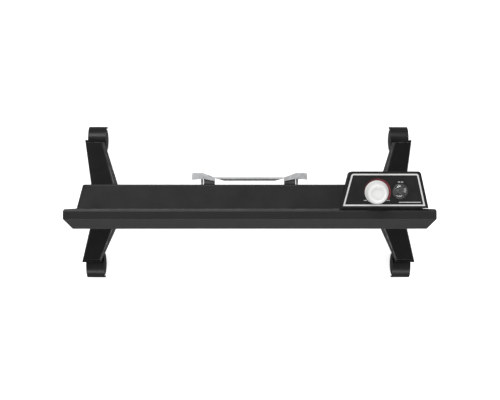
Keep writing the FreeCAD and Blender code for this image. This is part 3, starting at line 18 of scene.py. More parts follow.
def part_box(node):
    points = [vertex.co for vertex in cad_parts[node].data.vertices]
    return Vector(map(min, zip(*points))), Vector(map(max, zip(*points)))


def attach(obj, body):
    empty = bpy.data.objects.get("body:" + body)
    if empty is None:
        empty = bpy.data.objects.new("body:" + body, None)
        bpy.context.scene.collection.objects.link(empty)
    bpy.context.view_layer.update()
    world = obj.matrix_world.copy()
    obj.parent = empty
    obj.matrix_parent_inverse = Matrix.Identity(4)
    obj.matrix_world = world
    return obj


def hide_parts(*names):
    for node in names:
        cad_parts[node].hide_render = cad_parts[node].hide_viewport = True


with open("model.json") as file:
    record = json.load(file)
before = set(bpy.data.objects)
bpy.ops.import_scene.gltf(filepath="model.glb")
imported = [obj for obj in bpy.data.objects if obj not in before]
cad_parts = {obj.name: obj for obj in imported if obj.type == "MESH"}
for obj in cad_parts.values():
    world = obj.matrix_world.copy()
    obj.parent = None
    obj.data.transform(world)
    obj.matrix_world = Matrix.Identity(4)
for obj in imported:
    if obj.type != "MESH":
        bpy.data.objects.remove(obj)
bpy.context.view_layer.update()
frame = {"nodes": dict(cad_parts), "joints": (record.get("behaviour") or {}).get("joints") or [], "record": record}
nodes = frame["nodes"]
joints = {joint["name"]: joint for joint in frame["joints"]}
mm = 0.001

# %% [markdown]
# ## Camera
# The view is straight down from about 2.2 m over the floor, so near things such as the knob show
# their sides a little and lean away from the middle. A long lens keeps that small. A camera could
# be aimed by a constraint. Here it looks down its own -Z, as a new camera does, but for a tilt of
# less than half a degree.

# %% Make the camera
camera_data = bpy.data.cameras.new("overhead_camera")
camera_data.sensor_width = 36.0
camera_data.lens = 79.8
camera = bpy.data.objects.new("overhead_camera", camera_data)
camera.location = (-0.0135, 0.0042, 2.228)
camera.rotation_euler = (0.0, -0.0076, 0.0)
bpy.context.scene.collection.objects.link(camera)
bpy.context.scene.camera = camera
print("camera at", tuple(round(value, 3) for value in camera.location))

# %% [markdown]
# ## Floor and light
# The heater stands on a plain white floor. A white floor under a black object throws a lot of
# light up into its sides, so a Light Path node lets the floor look white to the camera and act as
# a duller one in mirrors and on the sides. A darker floor would be simpler, but it would look
# grey. Four large soft boxes stand round the object, one to two metres up, and leave the sky above
# it dim, because a black coat seen from above mirrors whatever hangs over it.


# %% A floor that looks white and throws little light
def start_piece(name):
    """Names the primitive that was just added and returns it."""
    piece = bpy.context.object
    piece.name = name
    piece.data.name = name
    return piece


bpy.ops.object.select_all(action="DESELECT")
bpy.ops.mesh.primitive_plane_add(size=14.0, location=(0, 0, 0))
floor = start_piece("studio_floor")
floor_paint = bpy.data.materials.new("studio floor")
floor_paint.use_nodes = True
floor_tree = floor_paint.node_tree
floor_shader = floor_tree.nodes["Principled BSDF"]
to_camera = floor_tree.nodes.new("ShaderNodeLightPath").outputs["Is Camera Ray"]
for label, hidden, shown in (("Base Color", 0.30, 0.9), ("Emission Strength", 0.0, 0.62)):
    level = floor_tree.nodes.new("ShaderNodeMapRange")
    level.inputs["To Min"].default_value = hidden
    level.inputs["To Max"].default_value = shown
    floor_tree.links.new(to_camera, level.inputs["Value"])
    floor_tree.links.new(level.outputs["Result"], floor_shader.inputs[label])
floor_shader.inputs["Roughness"].default_value = 0.9
floor_shader.inputs["Specular IOR Level"].default_value = 0.0
floor_shader.inputs["Emission Color"].default_value = (1, 1, 1, 1)
floor.data.materials.append(floor_paint)
print("a floor", round(floor.dimensions.x), "m wide")

# %% A dim white sky
world = bpy.data.worlds.new("studio")
bpy.context.scene.world = world
world.use_nodes = True
sky = world.node_tree.nodes["Background"]
sky.inputs["Color"].default_value = (1, 1, 1, 1)
sky.inputs["Strength"].default_value = 0.39
bpy.context.scene.view_settings.view_transform = "Standard"
print("a white sky of strength", round(sky.inputs["Strength"].default_value, 2))

# %% Soft boxes
heater_middle = Vector((0, 0, 0.25))


def soft_box(name, place, width, height, power):
    """A large area light that faces the heater."""
    data = bpy.data.lights.new(name, "AREA")
    data.shape = "RECTANGLE"
    data.size = width
    data.size_y = height
    data.energy = power
    light = bpy.data.objects.new(name, data)
    bpy.context.scene.collection.objects.link(light)
    light.location = place
    aim = heater_middle - Vector(place)
    light.rotation_euler = aim.to_track_quat("-Z", "Y").to_euler()
    print(name, "gives", power, "W")


soft_box("box_front", (0.0, -2.3, 1.0), width=2.6, height=0.8, power=30.5)
soft_box("box_back", (-0.4, 1.9, 1.9), width=1.8, height=0.9, power=36.5)
soft_box("box_left", (-2.1, 0.1, 1.4), width=1.5, height=1.2, power=16)
soft_box("box_right", (2.1, 0.0, 1.4), width=1.5, height=1.2, power=16)

# %% [markdown]
# ## Effects that several finishes share
# A surface looks real when its gloss and its relief change a little from place to place. These
# nodes could be placed again in every material. Instead each effect is a node group that is built
# once and placed where it is needed, with that material's own values, so that one change reaches
# all. A group puts out only a mask, a value or a colour, and the shader stays in the material.


# %% A node with its links, and an empty group
def add(tree, kind, links=(), **settings):
    """Adds a node, sets its options and values, and links (socket, source) pairs into it."""
    node = tree.nodes.new(kind)
    for key, value in settings.items():
        setattr(node, key, value)
    for socket, source in links:
        if isinstance(source, (int, float, tuple)):
            node.inputs[socket].default_value = source
        else:
            tree.links.new(source, node.inputs[socket])
    return node


def new_group(name, inputs, outputs):
    """A group with input sockets (name, type, default), outputs (name, type) and its end nodes."""
    tree = bpy.data.node_groups.new(name, "ShaderNodeTree")
    for label, kind, value in inputs:
        socket = tree.interface.new_socket(label, in_out="INPUT", socket_type=kind)
        if value is not None:
            socket.default_value = value
    for label, kind in outputs:
        tree.interface.new_socket(label, in_out="OUTPUT", socket_type=kind)
    return tree, tree.nodes.new("NodeGroupInput"), tree.nodes.new("NodeGroupOutput")


# %% Arithmetic on values
def ramp(tree, source, low, high, to_low=0.0, to_high=1.0):
    """Maps a value from one range to another, held at both ends."""
    return add(tree, "ShaderNodeMapRange",
               [("Value", source), ("From Min", low), ("From Max", high),
                ("To Min", to_low), ("To Max", to_high)]).outputs["Result"]


def times(tree, first, second):
    """One value times another."""
    return add(tree, "ShaderNodeMath", [(0, first), (1, second)], operation="MULTIPLY").outputs[0]


def plus(tree, first, second):
    """One value plus another."""
    return add(tree, "ShaderNodeMath", [(0, first), (1, second)], operation="ADD").outputs[0]


# %% Fine grain: the orange peel of a powder coat, the skin of a moulding
grain, grain_in, grain_out = new_group(
    "fine grain",
    [("Vector", "NodeSocketVector", None), ("Scale", "NodeSocketFloat", 900.0)],
    [("Height", "NodeSocketFloat"), ("Mottle", "NodeSocketFloat")])
peel = add(grain, "ShaderNodeTexNoise",
           [("Vector", grain_in.outputs["Vector"]), ("Scale", grain_in.outputs["Scale"]),
            ("Detail", 3.0), ("Roughness", 0.6)])
cells = add(grain, "ShaderNodeTexVoronoi",
            [("Vector", grain_in.outputs["Vector"]),
             ("Scale", times(grain, grain_in.outputs["Scale"], 0.6))], feature="SMOOTH_F1")
broad = add(grain, "ShaderNodeTexNoise",
            [("Vector", grain_in.outputs["Vector"]),
             ("Scale", times(grain, grain_in.outputs["Scale"], 0.03)), ("Detail", 4.0)])
relief = plus(grain, times(grain, peel.outputs["Fac"], 0.65),
              times(grain, cells.outputs["Distance"], 0.35))
grain.links.new(relief, grain_out.inputs["Height"])
grain.links.new(ramp(grain, broad.outputs["Fac"], 0.3, 0.7), grain_out.inputs["Mottle"])
print(grain.name, "has", len(grain.nodes), "nodes")

# %% Edge wear and painted highlight: a thin bright line on edges, where a finish is rubbed and where a fold catches the light
wear_and_highlight, wear_in, wear_out = new_group(
    "edge wear",
    [("Vector", "NodeSocketVector", None), ("Radius", "NodeSocketFloat", 1.4 * mm),
     ("Breakup", "NodeSocketFloat", 120.0)],
    [("Mask", "NodeSocketFloat")])
rounded = add(wear_and_highlight, "ShaderNodeBevel", [("Radius", wear_in.outputs["Radius"])], samples=4)
true_normal = add(wear_and_highlight, "ShaderNodeNewGeometry")
alike = add(wear_and_highlight, "ShaderNodeVectorMath",
            [(0, rounded.outputs["Normal"]), (1, true_normal.outputs["Normal"])],
            operation="DOT_PRODUCT")
patchy = add(wear_and_highlight, "ShaderNodeTexNoise",
             [("Vector", wear_in.outputs["Vector"]), ("Scale", wear_in.outputs["Breakup"]),
              ("Detail", 5.0)])
edge = ramp(wear_and_highlight, alike.outputs["Value"], 0.995, 0.93)
wear_and_highlight.links.new(times(wear_and_highlight, edge, ramp(wear_and_highlight, patchy.outputs["Fac"], 0.35, 0.65, 0.35, 1.0)),
               wear_out.inputs["Mask"])
print(wear_and_highlight.name, "has", len(wear_and_highlight.nodes), "nodes")

# %% Dust: a thin veil on what faces up
dust, dust_in, dust_out = new_group(
    "dust", [("Vector", "NodeSocketVector", None), ("Amount", "NodeSocketFloat", 0.1)],
    [("Mask", "NodeSocketFloat")])
facing = add(dust, "ShaderNodeSeparateXYZ",
             [(0, add(dust, "ShaderNodeNewGeometry").outputs["Normal"])])
specks = add(dust, "ShaderNodeTexNoise",
             [("Vector", dust_in.outputs["Vector"]), ("Scale", 60.0), ("Detail", 8.0),
              ("Roughness", 0.7)])
upward = ramp(dust, facing.outputs["Z"], 0.2, 1.0)
settled = times(dust, upward, ramp(dust, specks.outputs["Fac"], 0.4, 0.75))
dust.links.new(times(dust, settled, dust_in.outputs["Amount"]), dust_out.inputs["Mask"])
print(dust.name, "has", len(dust.nodes), "nodes")

# %% Spangle: the frosted crystals of hot-dip zinc
spangle, spangle_in, spangle_out = new_group(
    "spangle", [("Vector", "NodeSocketVector", None), ("Scale", "NodeSocketFloat", 160.0)],
    [("Tone", "NodeSocketFloat")])
warp = add(spangle, "ShaderNodeTexNoise",
           [("Vector", spangle_in.outputs["Vector"]), ("Scale", 220.0), ("Detail", 2.0)])
warp_reach = 4 * mm
warped = add(spangle, "ShaderNodeVectorMath",
             [(0, warp.outputs["Color"]), (1, (warp_reach, warp_reach, warp_reach)),
              (2, spangle_in.outputs["Vector"])], operation="MULTIPLY_ADD")
crystals = add(spangle, "ShaderNodeTexVoronoi",
               [("Vector", warped.outputs["Vector"]), ("Scale", spangle_in.outputs["Scale"])])
crystal_tone = add(spangle, "ShaderNodeSeparateColor", [(0, crystals.outputs["Color"])])
spangle.links.new(crystal_tone.outputs[0], spangle_out.inputs["Tone"])
print(spangle.name, "has", len(spangle.nodes), "nodes")

# %% Drawn lines: the fine streaks along a drawn, rolled or turned metal
streaks, streaks_in, streaks_out = new_group(
    "drawn lines",
    [("Vector", "NodeSocketVector", None), ("Stretch", "NodeSocketVector", (1.0, 60.0, 60.0))],
    [("Streak", "NodeSocketFloat")])
pulled = add(streaks, "ShaderNodeVectorMath",
             [(0, streaks_in.outputs["Vector"]), (1, streaks_in.outputs["Stretch"])],
             operation="MULTIPLY")
lines = add(streaks, "ShaderNodeTexNoise",
            [("Vector", pulled.outputs["Vector"]), ("Scale", 30.0), ("Detail", 6.0),
             ("Roughness", 0.65)])
streaks.links.new(ramp(streaks, lines.outputs["Fac"], 0.3, 0.7), streaks_out.inputs["Streak"])
print(streaks.name, "has", len(streaks.nodes), "nodes")

# %% [markdown]
# ## Finishes
# Paint and plastic could be one plain colour with one gloss, but they would look like a drawing.
# Each material here starts from the object's own coordinates, so its grain has a true size in
# metres and does not slide. A number that is the same all over is set on the shader's own socket.
# What varies comes in through a link: a mottled colour, a gloss that changes a little, and a
# relief that is only a few hundredths of a millimetre deep.


# %% Helpers for materials
def start_finish(name, constants):
    """A new material, its tree, its shader with constants set, and the object's coordinates."""
    paint = bpy.data.materials.new(name)
    paint.use_nodes = True
    tree = paint.node_tree
    shader = tree.nodes["Principled BSDF"]
    for label, value in constants.items():
        shader.inputs[label].default_value = value
    return paint, tree, shader, tree.nodes.new("ShaderNodeTexCoord").outputs["Object"]


def effect(tree, group, links):
    """Places a shared effect in a material."""
    return add(tree, "ShaderNodeGroup", links.items(), node_tree=group).outputs


def blend(tree, share, first, second):
    """Mixes two colours by a share; a Mix node keeps its colour sockets at 6, 7 and out at 2."""
    return add(tree, "ShaderNodeMix", [(0, share), (6, first), (7, second)],
               data_type="RGBA").outputs[2]


def bump(tree, shader, height, depth):
    """Feeds a height into the shader's normal; depth is in metres."""
    node = add(tree, "ShaderNodeBump", [("Height", height), ("Distance", depth)])
    tree.links.new(node.outputs["Normal"], shader.inputs["Normal"])


# %% Paint and mouldings
dust_colour = (0.42, 0.40, 0.37, 1)
dust_dulls, rubbing_polishes = 0.5, -0.12


def coated(name, dark, light, gloss, grain_size, depth, edge, edge_share, dusty, constants=None):
    """A paint or a moulding: mottled colour, fine relief, rubbed edges that also carry a painted highlight, and a
    veil of dust.
    """
    paint, tree, shader, place = start_finish(name, constants or {})
    skin = effect(tree, grain, {"Vector": place, "Scale": 1.0 / grain_size})
    rubbed_and_highlit = effect(tree, wear_and_highlight, {"Vector": place})["Mask"]
    veil = effect(tree, dust, {"Vector": place, "Amount": dusty})["Mask"]
    colour = blend(tree, skin["Mottle"], dark + (1,), light + (1,))
    # rubbed edges: partly worn coat, partly a painted highlight where an edge catches the light
    colour = blend(tree, times(tree, rubbed_and_highlit, edge_share), colour, edge + (1,))
    colour = blend(tree, veil, colour, dust_colour)
    tree.links.new(colour, shader.inputs["Base Color"])
    dull = ramp(tree, skin["Mottle"], 0.0, 1.0, gloss[0], gloss[1])
    dull = plus(tree, dull, times(tree, veil, dust_dulls))
    dull = plus(tree, dull, times(tree, rubbed_and_highlit, rubbing_polishes))
    tree.links.new(dull, shader.inputs["Roughness"])
    bump(tree, shader, skin["Height"], depth)
    return paint


# %% [markdown]
# ### Powder coat
# The casing and the panel are sheet steel under a matt black powder coat. Baked powder flows into
# a fine orange peel, about a millimetre across, so the gloss is broken even where the sheet is
# flat. On the folds the coat is thinner and rubs a little lighter, and that pale edge colour is
# also a painted highlight, the thin line of light that a fold catches. An image texture could show
# this too, but noise in metres has no seam and needs no file.

# %% Powder coats
# the edge colour, far paler than the coat, is partly wear and partly a painted highlight on the folds
powder_coat = {
    "dark": (0.0102, 0.0102, 0.0108), "light": (0.0146, 0.0146, 0.0152), "gloss": (0.38, 0.46),
    "grain_size": 1.1 * mm, "depth": 0.05 * mm, "edge": (0.16, 0.16, 0.165), "edge_share": 0.6,
    "dusty": 0.010, "constants": {"Specular IOR Level": 0.24}}
powder_black = coated("powder coat on sheet steel", **powder_coat)
# the front panel's coat, which gets painted light on its level top below
panel_coat_with_painted_light = coated("powder coat on the front panel", **powder_coat)
# the feet's pale edge colour is partly wear and partly a painted highlight along their folds and lips
foot_black = coated(
    "satin coat on the feet", (0.0016, 0.0016, 0.0018), (0.0030, 0.0030, 0.0033),
    gloss=(0.44, 0.54), grain_size=0.9 * mm, depth=0.03 * mm,
    edge=(0.24, 0.24, 0.245), edge_share=0.8, dusty=0.006,
    constants={"Specular IOR Level": 0.085})
print("made", ", ".join(paint.name for paint in (powder_black, panel_coat_with_painted_light, foot_black)))

# %% [markdown]
# The feet's steep flanks, the wheels' flat faces and the panel's level top are painted paler: this
# is painted light, for the light that falls on them from the side and from above. These could be
# painted by hand. One mask serves all three instead: it is the square of how far a face looks along
# one axis.


# %% Paler faces: painted light on faces that look along one axis
def paint_light_on_faces(paint, axis, low, high, pale, share=1.0):
    """Painted light: blends a colour towards a pale one where a face looks along an axis."""
    tree = paint.node_tree
    colour = tree.nodes["Principled BSDF"].inputs["Base Color"]
    normal = add(tree, "ShaderNodeTexCoord").outputs["Normal"]
    facing = add(tree, "ShaderNodeSeparateXYZ", [(0, normal)]).outputs[axis]
    painted_light_mask = ramp(tree, times(tree, facing, facing), low, high, 0.0, share)
    tree.links.new(blend(tree, painted_light_mask, colour.links[0].from_socket, pale + (1,)), colour)
    print(paint.name, "is paler along", axis)


# painted light: the feet's steep flanks are made paler where light from the side falls on them
paint_light_on_faces(foot_black, "X", 0.10, 0.30, (0.066, 0.066, 0.067))
# painted light: the panel's level top is made paler where light from above falls on it
paint_light_on_faces(panel_coat_with_painted_light, "Z", 0.86, 0.97, (0.0215, 0.0215, 0.0220), share=0.85)

# %% [markdown]
# ### Mouldings
# The control box is moulded plastic with a spark-eroded skin, duller and finer than the powder
# coat. The castors are nylon, a little glossier, and the bracket's locks are a greyer, duller
# nylon. The knob is a clean white with almost no relief, and the rocker switch is a smooth dark
# grey that looks black under its cap. One helper makes them all, so that they age alike.

# %% Black and grey plastics
abs_black = coated(
    "moulded control box", (0.0085, 0.0085, 0.0090), (0.0120, 0.0120, 0.0125),
    gloss=(0.42, 0.52), grain_size=0.5 * mm, depth=0.02 * mm,
    edge=(0.05, 0.05, 0.052), edge_share=0.4, dusty=0.008,
    constants={"Specular IOR Level": 0.22})
face_black = coated(
    "printed control face", (0.0105, 0.0105, 0.0108), (0.0135, 0.0135, 0.0140),
    gloss=(0.40, 0.48), grain_size=0.35 * mm, depth=0.008 * mm,
    edge=(0.03, 0.03, 0.03), edge_share=0.3, dusty=0.006,
    constants={"Specular IOR Level": 0.3})
nylon_black = coated(
    "castor nylon", (0.0060, 0.0060, 0.0064), (0.0090, 0.0090, 0.0094),
    gloss=(0.31, 0.40), grain_size=0.8 * mm, depth=0.012 * mm,
    edge=(0.05, 0.05, 0.05), edge_share=0.5, dusty=0.006,
    constants={"Specular IOR Level": 0.28})
# painted light: the castors' side faces are made paler where light from the side falls on them
paint_light_on_faces(nylon_black, "X", 0.10, 0.30, (0.018, 0.018, 0.019))
lock_grey = coated(
    "grey lock nylon", (0.055, 0.055, 0.055), (0.085, 0.085, 0.084),
    gloss=(0.45, 0.60), grain_size=0.6 * mm, depth=0.03 * mm,
    edge=(0.15, 0.15, 0.15), edge_share=0.5, dusty=0.02)
switch_black = coated(
    "switch black", (0.0780, 0.0780, 0.0790), (0.0960, 0.0960, 0.0970),
    gloss=(0.24, 0.34), grain_size=1.5 * mm, depth=0.003 * mm,
    edge=(0.05, 0.05, 0.05), edge_share=0.3, dusty=0.010)
print("five dark plastics")

# %% Pale plastics and ceramic
knob_white = coated(
    "white knob plastic", (0.81, 0.81, 0.80), (0.85, 0.85, 0.84),
    gloss=(0.30, 0.38), grain_size=0.9 * mm, depth=0.004 * mm,
    edge=(0.86, 0.86, 0.85), edge_share=0.3, dusty=0.010,
    constants={"Subsurface Weight": 0.08, "Subsurface Radius": (4 * mm, 4 * mm, 4 * mm)})
terminal_grey = coated(
    "terminal grey", (0.40, 0.41, 0.41), (0.47, 0.48, 0.48),
    gloss=(0.40, 0.50), grain_size=0.8 * mm, depth=0.012 * mm,
    edge=(0.58, 0.58, 0.58), edge_share=0.4, dusty=0.03)
ceramic_white = coated(
    "unglazed ceramic", (0.70, 0.68, 0.63), (0.78, 0.77, 0.72),
    gloss=(0.62, 0.75), grain_size=0.4 * mm, depth=0.03 * mm,
    edge=(0.84, 0.83, 0.80), edge_share=0.3, dusty=0.03)
print("two pale plastics and a ceramic")

# %% [markdown]
# ### Clear cap
# The rocker is under a soft clear cap. Real ones are a little cloudy, with a smeared gloss. Mixing
# in a Transparent shader would be quick and look like film, so the transmission stays plain and
# only the roughness and a faint relief vary.

# %% Clear soft plastic
cap_clear, tree, shader, place = start_finish(
    "clear splash cap",
    {"Base Color": (0.97, 0.98, 0.98, 1), "Transmission Weight": 1.0, "IOR": 1.45})
cap_mottle = effect(tree, grain, {"Vector": place, "Scale": 400.0})["Mottle"]
tree.links.new(ramp(tree, cap_mottle, 0.0, 1.0, 0.03, 0.10), shader.inputs["Roughness"])
bump(tree, shader, cap_mottle, 0.02 * mm)
print("made", cap_clear.name)

# %% [markdown]
# ### Bare metals
# The wall bracket and the inner brackets are galvanised: pale zinc with frosted crystals that
# catch the light one by one. The element is extruded aluminium with long die lines. Screws, pins
# and the heating rod are plain steel with fine turning marks. Lines are a noise that is squeezed
# across them, which is cheaper than real grooves and looks the same from a hand's width away.


# %% Aluminium and steel
def bare_metal(name, dark, light, gloss, stretch, depth):
    """A bright metal with fine lines along it."""
    paint, tree, shader, place = start_finish(name, {"Metallic": 1.0})
    drawn = effect(tree, streaks, {"Vector": place, "Stretch": stretch})["Streak"]
    skin = effect(tree, grain, {"Vector": place, "Scale": 500.0})
    tone = plus(tree, times(tree, drawn, 0.6), times(tree, skin["Mottle"], 0.4))
    tree.links.new(blend(tree, tone, dark + (1,), light + (1,)), shader.inputs["Base Color"])
    tree.links.new(ramp(tree, tone, 0.0, 1.0, gloss[0], gloss[1]), shader.inputs["Roughness"])
    bump(tree, shader, drawn, depth)
    print("made", paint.name)
    return paint


element_aluminium = bare_metal(
    "extruded aluminium", (0.66, 0.67, 0.68), (0.80, 0.80, 0.81),
    gloss=(0.42, 0.30), stretch=(1.0, 60.0, 60.0), depth=0.02 * mm)
steel = bare_metal(
    "plain steel", (0.42, 0.42, 0.43), (0.60, 0.60, 0.61),
    gloss=(0.40, 0.26), stretch=(25.0, 25.0, 25.0), depth=0.01 * mm)

# %% Zinc
galvanised, tree, shader, place = start_finish("galvanised sheet", {"Metallic": 0.55})
crystal = effect(tree, spangle, {"Vector": place, "Scale": 170.0})["Tone"]
skin = effect(tree, grain, {"Vector": place, "Scale": 900.0})
veil = effect(tree, dust, {"Vector": place, "Amount": 0.06})["Mask"]
stains = ramp(tree, skin["Mottle"], 0.2, 0.9, 0.0, 0.3)
zinc = blend(tree, crystal, (0.70, 0.71, 0.72, 1), (0.85, 0.86, 0.87, 1))
zinc = blend(tree, stains, zinc, (0.70, 0.71, 0.73, 1))
zinc = blend(tree, veil, zinc, (0.5, 0.49, 0.46, 1))
tree.links.new(zinc, shader.inputs["Base Color"])
tree.links.new(ramp(tree, crystal, 0.0, 1.0, 0.34, 0.55), shader.inputs["Roughness"])
bump(tree, shader, skin["Height"], 0.015 * mm)
print("made", galvanised.name)

# %% [markdown]
# ### Dress the CAD parts
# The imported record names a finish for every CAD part, so one loop dresses them all. Pieces made
# below take their finish from the same table.

# %% Assign finishes by the record's slots
finishes = {
    "powder_black": powder_black, "foot_black": foot_black, "abs_black": abs_black,
    "face_black": face_black, "knob_white": knob_white, "switch_black": switch_black,
    "cap_clear": cap_clear, "nylon_black": nylon_black, "galvanised": galvanised,
    "steel": steel, "element_aluminium": element_aluminium, "ceramic_white": ceramic_white,
    "terminal_grey": terminal_grey,
}
slot_of = {part["node"]: part["material_slot"] for part in frame["record"]["subparts"]}
for name, part in nodes.items():
    part.data.materials.clear()
    part.data.materials.append(finishes[slot_of[name]])
print("dressed", len(slot_of), "CAD parts in", len(set(slot_of.values())), "finishes")

# %% [markdown]
# ## The sloping control face
# Everything on the control face lies square to it, so it is drawn flat first and then laid on the
# slope by one matrix. Drawing it on the slope at once would need the angle in every number. The
# matrix comes from the knob's joint, which sits on the face: its axis points out of the face, and
# its place is the middle of the knob.

# %% The face's own frame, from the knob's joint
knob_joint = joints["knob_turn"]
face_out = Vector(knob_joint["axis"]).normalized()
face_across = Vector((1, 0, 0))
face_up = face_out.cross(face_across)
on_face = Matrix((face_across, face_up, face_out)).transposed().to_4x4()
on_face.translation = Vector(knob_joint["pos_m"])
print("the face slopes by", round(math.degrees(math.acos(face_out.z)), 1), "degrees")


# %% CAD parts measured in the face's frame
def face_points(node):
    """A CAD part's points in the face's frame: across, up the slope, out."""
    back = on_face.inverted()
    return [back @ vert.co for vert in nodes[node].data.vertices]


def face_box(node):
    """Lowest and highest corners of a CAD part in the face's frame."""
    points = face_points(node)
    return (Vector([min(point[i] for point in points) for i in range(3)]),
            Vector([max(point[i] for point in points) for i in range(3)]))


plate_low, plate_high = face_box("face_plate")
near_edge = 0.5 * mm
plate = face_points("face_plate")
plate_front = [point.x for point in plate if point.y < plate_low.y + near_edge]
plate_back = [point.x for point in plate if point.y > plate_high.y - near_edge]
print("the face plate is", round((plate_high.y - plate_low.y) / mm, 1), "mm up the slope")


# %% The plate's four corners, moved in
def plate_corners(side_gap, front_gap, back_gap):
    """The plate's four corners, moved in from its edges, anticlockwise from front left."""
    left_front, right_front = min(plate_front), max(plate_front)
    left_back, right_back = min(plate_back), max(plate_back)
    depth = plate_high.y - plate_low.y
    lean = (right_front - right_back) / depth
    sideways = side_gap * math.hypot(1, lean)
    front, back = plate_low.y + front_gap, plate_high.y - back_gap
    share_front, share_back = front_gap / depth, 1 - back_gap / depth

    def left(share):
        return left_front + (left_back - left_front) * share + sideways

    def right(share):
        return right_front + (right_back - right_front) * share - sideways

    return [(left(share_front), front), (right(share_front), front),
            (right(share_back), back), (left(share_back), back)]


# %% [markdown]
# ## Printed marks
# The face carries a white border line, a red arc that swells towards the warm end of the dial and
# a few small words. On the real thing they are screen-printed. A print can be a colour in the
# plate's material, or a very thin piece of its own. A thin piece keeps its edge sharp at any
# distance and moves to another size with the plate, so each print is a sheet 0.06 mm thick.

# %% White ink
print_white = coated(
    "white printing ink", (0.66, 0.66, 0.65), (0.74, 0.74, 0.73),
    gloss=(0.45, 0.6), grain_size=0.4 * mm, depth=0.004 * mm,
    edge=(0.74, 0.74, 0.73), edge_share=0.2, dusty=0.01)
print("made", print_white.name)

# %% Red ink, with a painted highlight that brightens it towards the warm end on the right
cold_side, warm_side = 21 * mm, 22 * mm
print_red, tree, shader, place = start_finish("red printing ink", {})
skin = effect(tree, grain, {"Vector": place, "Scale": 2500.0})
along = add(tree, "ShaderNodeSeparateXYZ", [(0, place)]).outputs["X"]
knob_x = knob_joint["pos_m"][0]
# painted highlight: the red is made brighter towards the right, where the arc catches the light
glare_share = ramp(tree, along, knob_x - cold_side, knob_x + warm_side)
red = blend(tree, glare_share, (0.035, 0.003, 0.005, 1), (0.20, 0.032, 0.040, 1))
red = blend(tree, ramp(tree, skin["Mottle"], 0.2, 0.8, 0.0, 0.2), red, (0.12, 0.012, 0.018, 1))
tree.links.new(red, shader.inputs["Base Color"])
tree.links.new(ramp(tree, skin["Mottle"], 0.0, 1.0, 0.40, 0.55), shader.inputs["Roughness"])
bump(tree, shader, skin["Height"], 0.004 * mm)
print("made", print_red.name)

# %% [markdown]
# An operator works on whatever is selected, and the load leaves every CAD part selected. So each
# step begins with nothing selected, and faces or edges are then picked by a rule about their place
# or the way they face. The helpers below do that, and leave a piece with its place in its mesh.


# %% Select, pick and measure
def select_only(piece):
    """Leaves just this object selected and active."""
    bpy.ops.object.select_all(action="DESELECT")
    piece.select_set(True)
    bpy.context.view_layer.objects.active = piece


def pick(piece, kind, rule):
    """In edit mode, selects the verts, edges or faces for which rule(item) is true."""
    bpy.ops.mesh.select_mode(type={"verts": "VERT", "edges": "EDGE", "faces": "FACE"}[kind])
    bpy.ops.mesh.select_all(action="DESELECT")
    mesh = bmesh.from_edit_mesh(piece.data)
    chosen = [item for item in getattr(mesh, kind) if rule(item)]
    for item in chosen:
        item.select_set(True)
    bmesh.update_edit_mesh(piece.data)
    return len(chosen)


def middle(item):
    """The middle of an edge or a face."""
    return sum((vert.co for vert in item.verts), Vector()) / len(item.verts)


# %% Close, place and hand over
def outward(piece):
    """Merges doubles and turns every face outwards."""
    select_only(piece)
    bpy.ops.object.mode_set(mode="EDIT")
    bpy.ops.mesh.select_all(action="SELECT")
    bpy.ops.mesh.remove_doubles(threshold=0.01 * mm)
    bpy.ops.mesh.normals_make_consistent(inside=False)
    bpy.ops.object.mode_set(mode="OBJECT")


def apply_place(piece):
    """Moves the object's place, turn and scale into its mesh."""
    select_only(piece)
    bpy.ops.object.transform_apply(location=True, rotation=True, scale=True)


def put_at(piece, matrix):
    """Moves a piece to its place and keeps the place in its mesh."""
    piece.matrix_world = matrix
    apply_place(piece)


def finish_piece(piece, body, material, replaced=()):
    """Gives a piece its finish, its body and the CAD parts it stands for."""
    piece.data.materials.clear()
    piece.data.materials.append(material)
    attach(piece, body)
    if replaced:
        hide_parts(*replaced)
    print("made", piece.name, "with", len(piece.data.polygons), "faces on", body)


# %% White border line: a thin plate whose middle is inset and bridged away
ink = 0.06 * mm


def flat_piece(name, corners, thickness):
    """A thin flat plate with the given corners, its underside at zero height."""
    bpy.ops.mesh.primitive_circle_add(vertices=len(corners), radius=1, fill_type="NGON")
    piece = start_piece(name)
    for vert, (x, y) in zip(piece.data.vertices, corners):
        vert.co = (x, y, 0)
    bpy.ops.object.mode_set(mode="EDIT")
    bpy.ops.mesh.select_all(action="SELECT")
    bpy.ops.mesh.extrude_region_move(TRANSFORM_OT_translate={"value": (0, 0, thickness)})
    bpy.ops.object.mode_set(mode="OBJECT")
    outward(piece)
    return piece


line_width, corner_radius = 2.4 * mm, 3.0 * mm
border_corners = plate_corners(side_gap=2.7 * mm, front_gap=1.8 * mm, back_gap=2.1 * mm)
border = flat_piece("face_border_line", border_corners, ink)
bpy.ops.object.mode_set(mode="EDIT")
pick(border, "edges", lambda edge: abs(edge.verts[0].co.z - edge.verts[1].co.z) > ink / 2
     and middle(edge).y > 0)
bpy.ops.mesh.bevel(offset=corner_radius, segments=6, affect="EDGES")
pick(border, "faces", lambda face: abs(face.normal.z) > 0.9)
bpy.ops.mesh.inset(thickness=line_width)
bpy.ops.mesh.bridge_edge_loops()
bpy.ops.object.mode_set(mode="OBJECT")
outward(border)
put_at(border, on_face)
finish_piece(border, "heater", print_white)

# %% Red arc: a short edge spun round the knob
arc_start, arc_sweep, arc_steps = math.radians(188), math.radians(222), 72
near_end, far_end = 0.5, 1.0
bpy.ops.mesh.primitive_plane_add(size=1)
arc = start_piece("face_heat_arc")
edge_and_spare = ((near_end, 0), (far_end, 0), (near_end, 0.1), (far_end, 0.1))
for vert, (x, y) in zip(arc.data.vertices, edge_and_spare):
    vert.co = (x, y, 0)
bpy.ops.object.mode_set(mode="EDIT")
pick(arc, "verts", lambda vert: vert.co.y > 0.05)
bpy.ops.mesh.delete(type="VERT")
bpy.ops.mesh.select_all(action="SELECT")
bpy.ops.mesh.spin(steps=arc_steps, angle=-arc_sweep, center=(0, 0, 0), axis=(0, 0, 1))
bpy.ops.object.mode_set(mode="OBJECT")
print("a plain band of", len(arc.data.polygons), "faces")

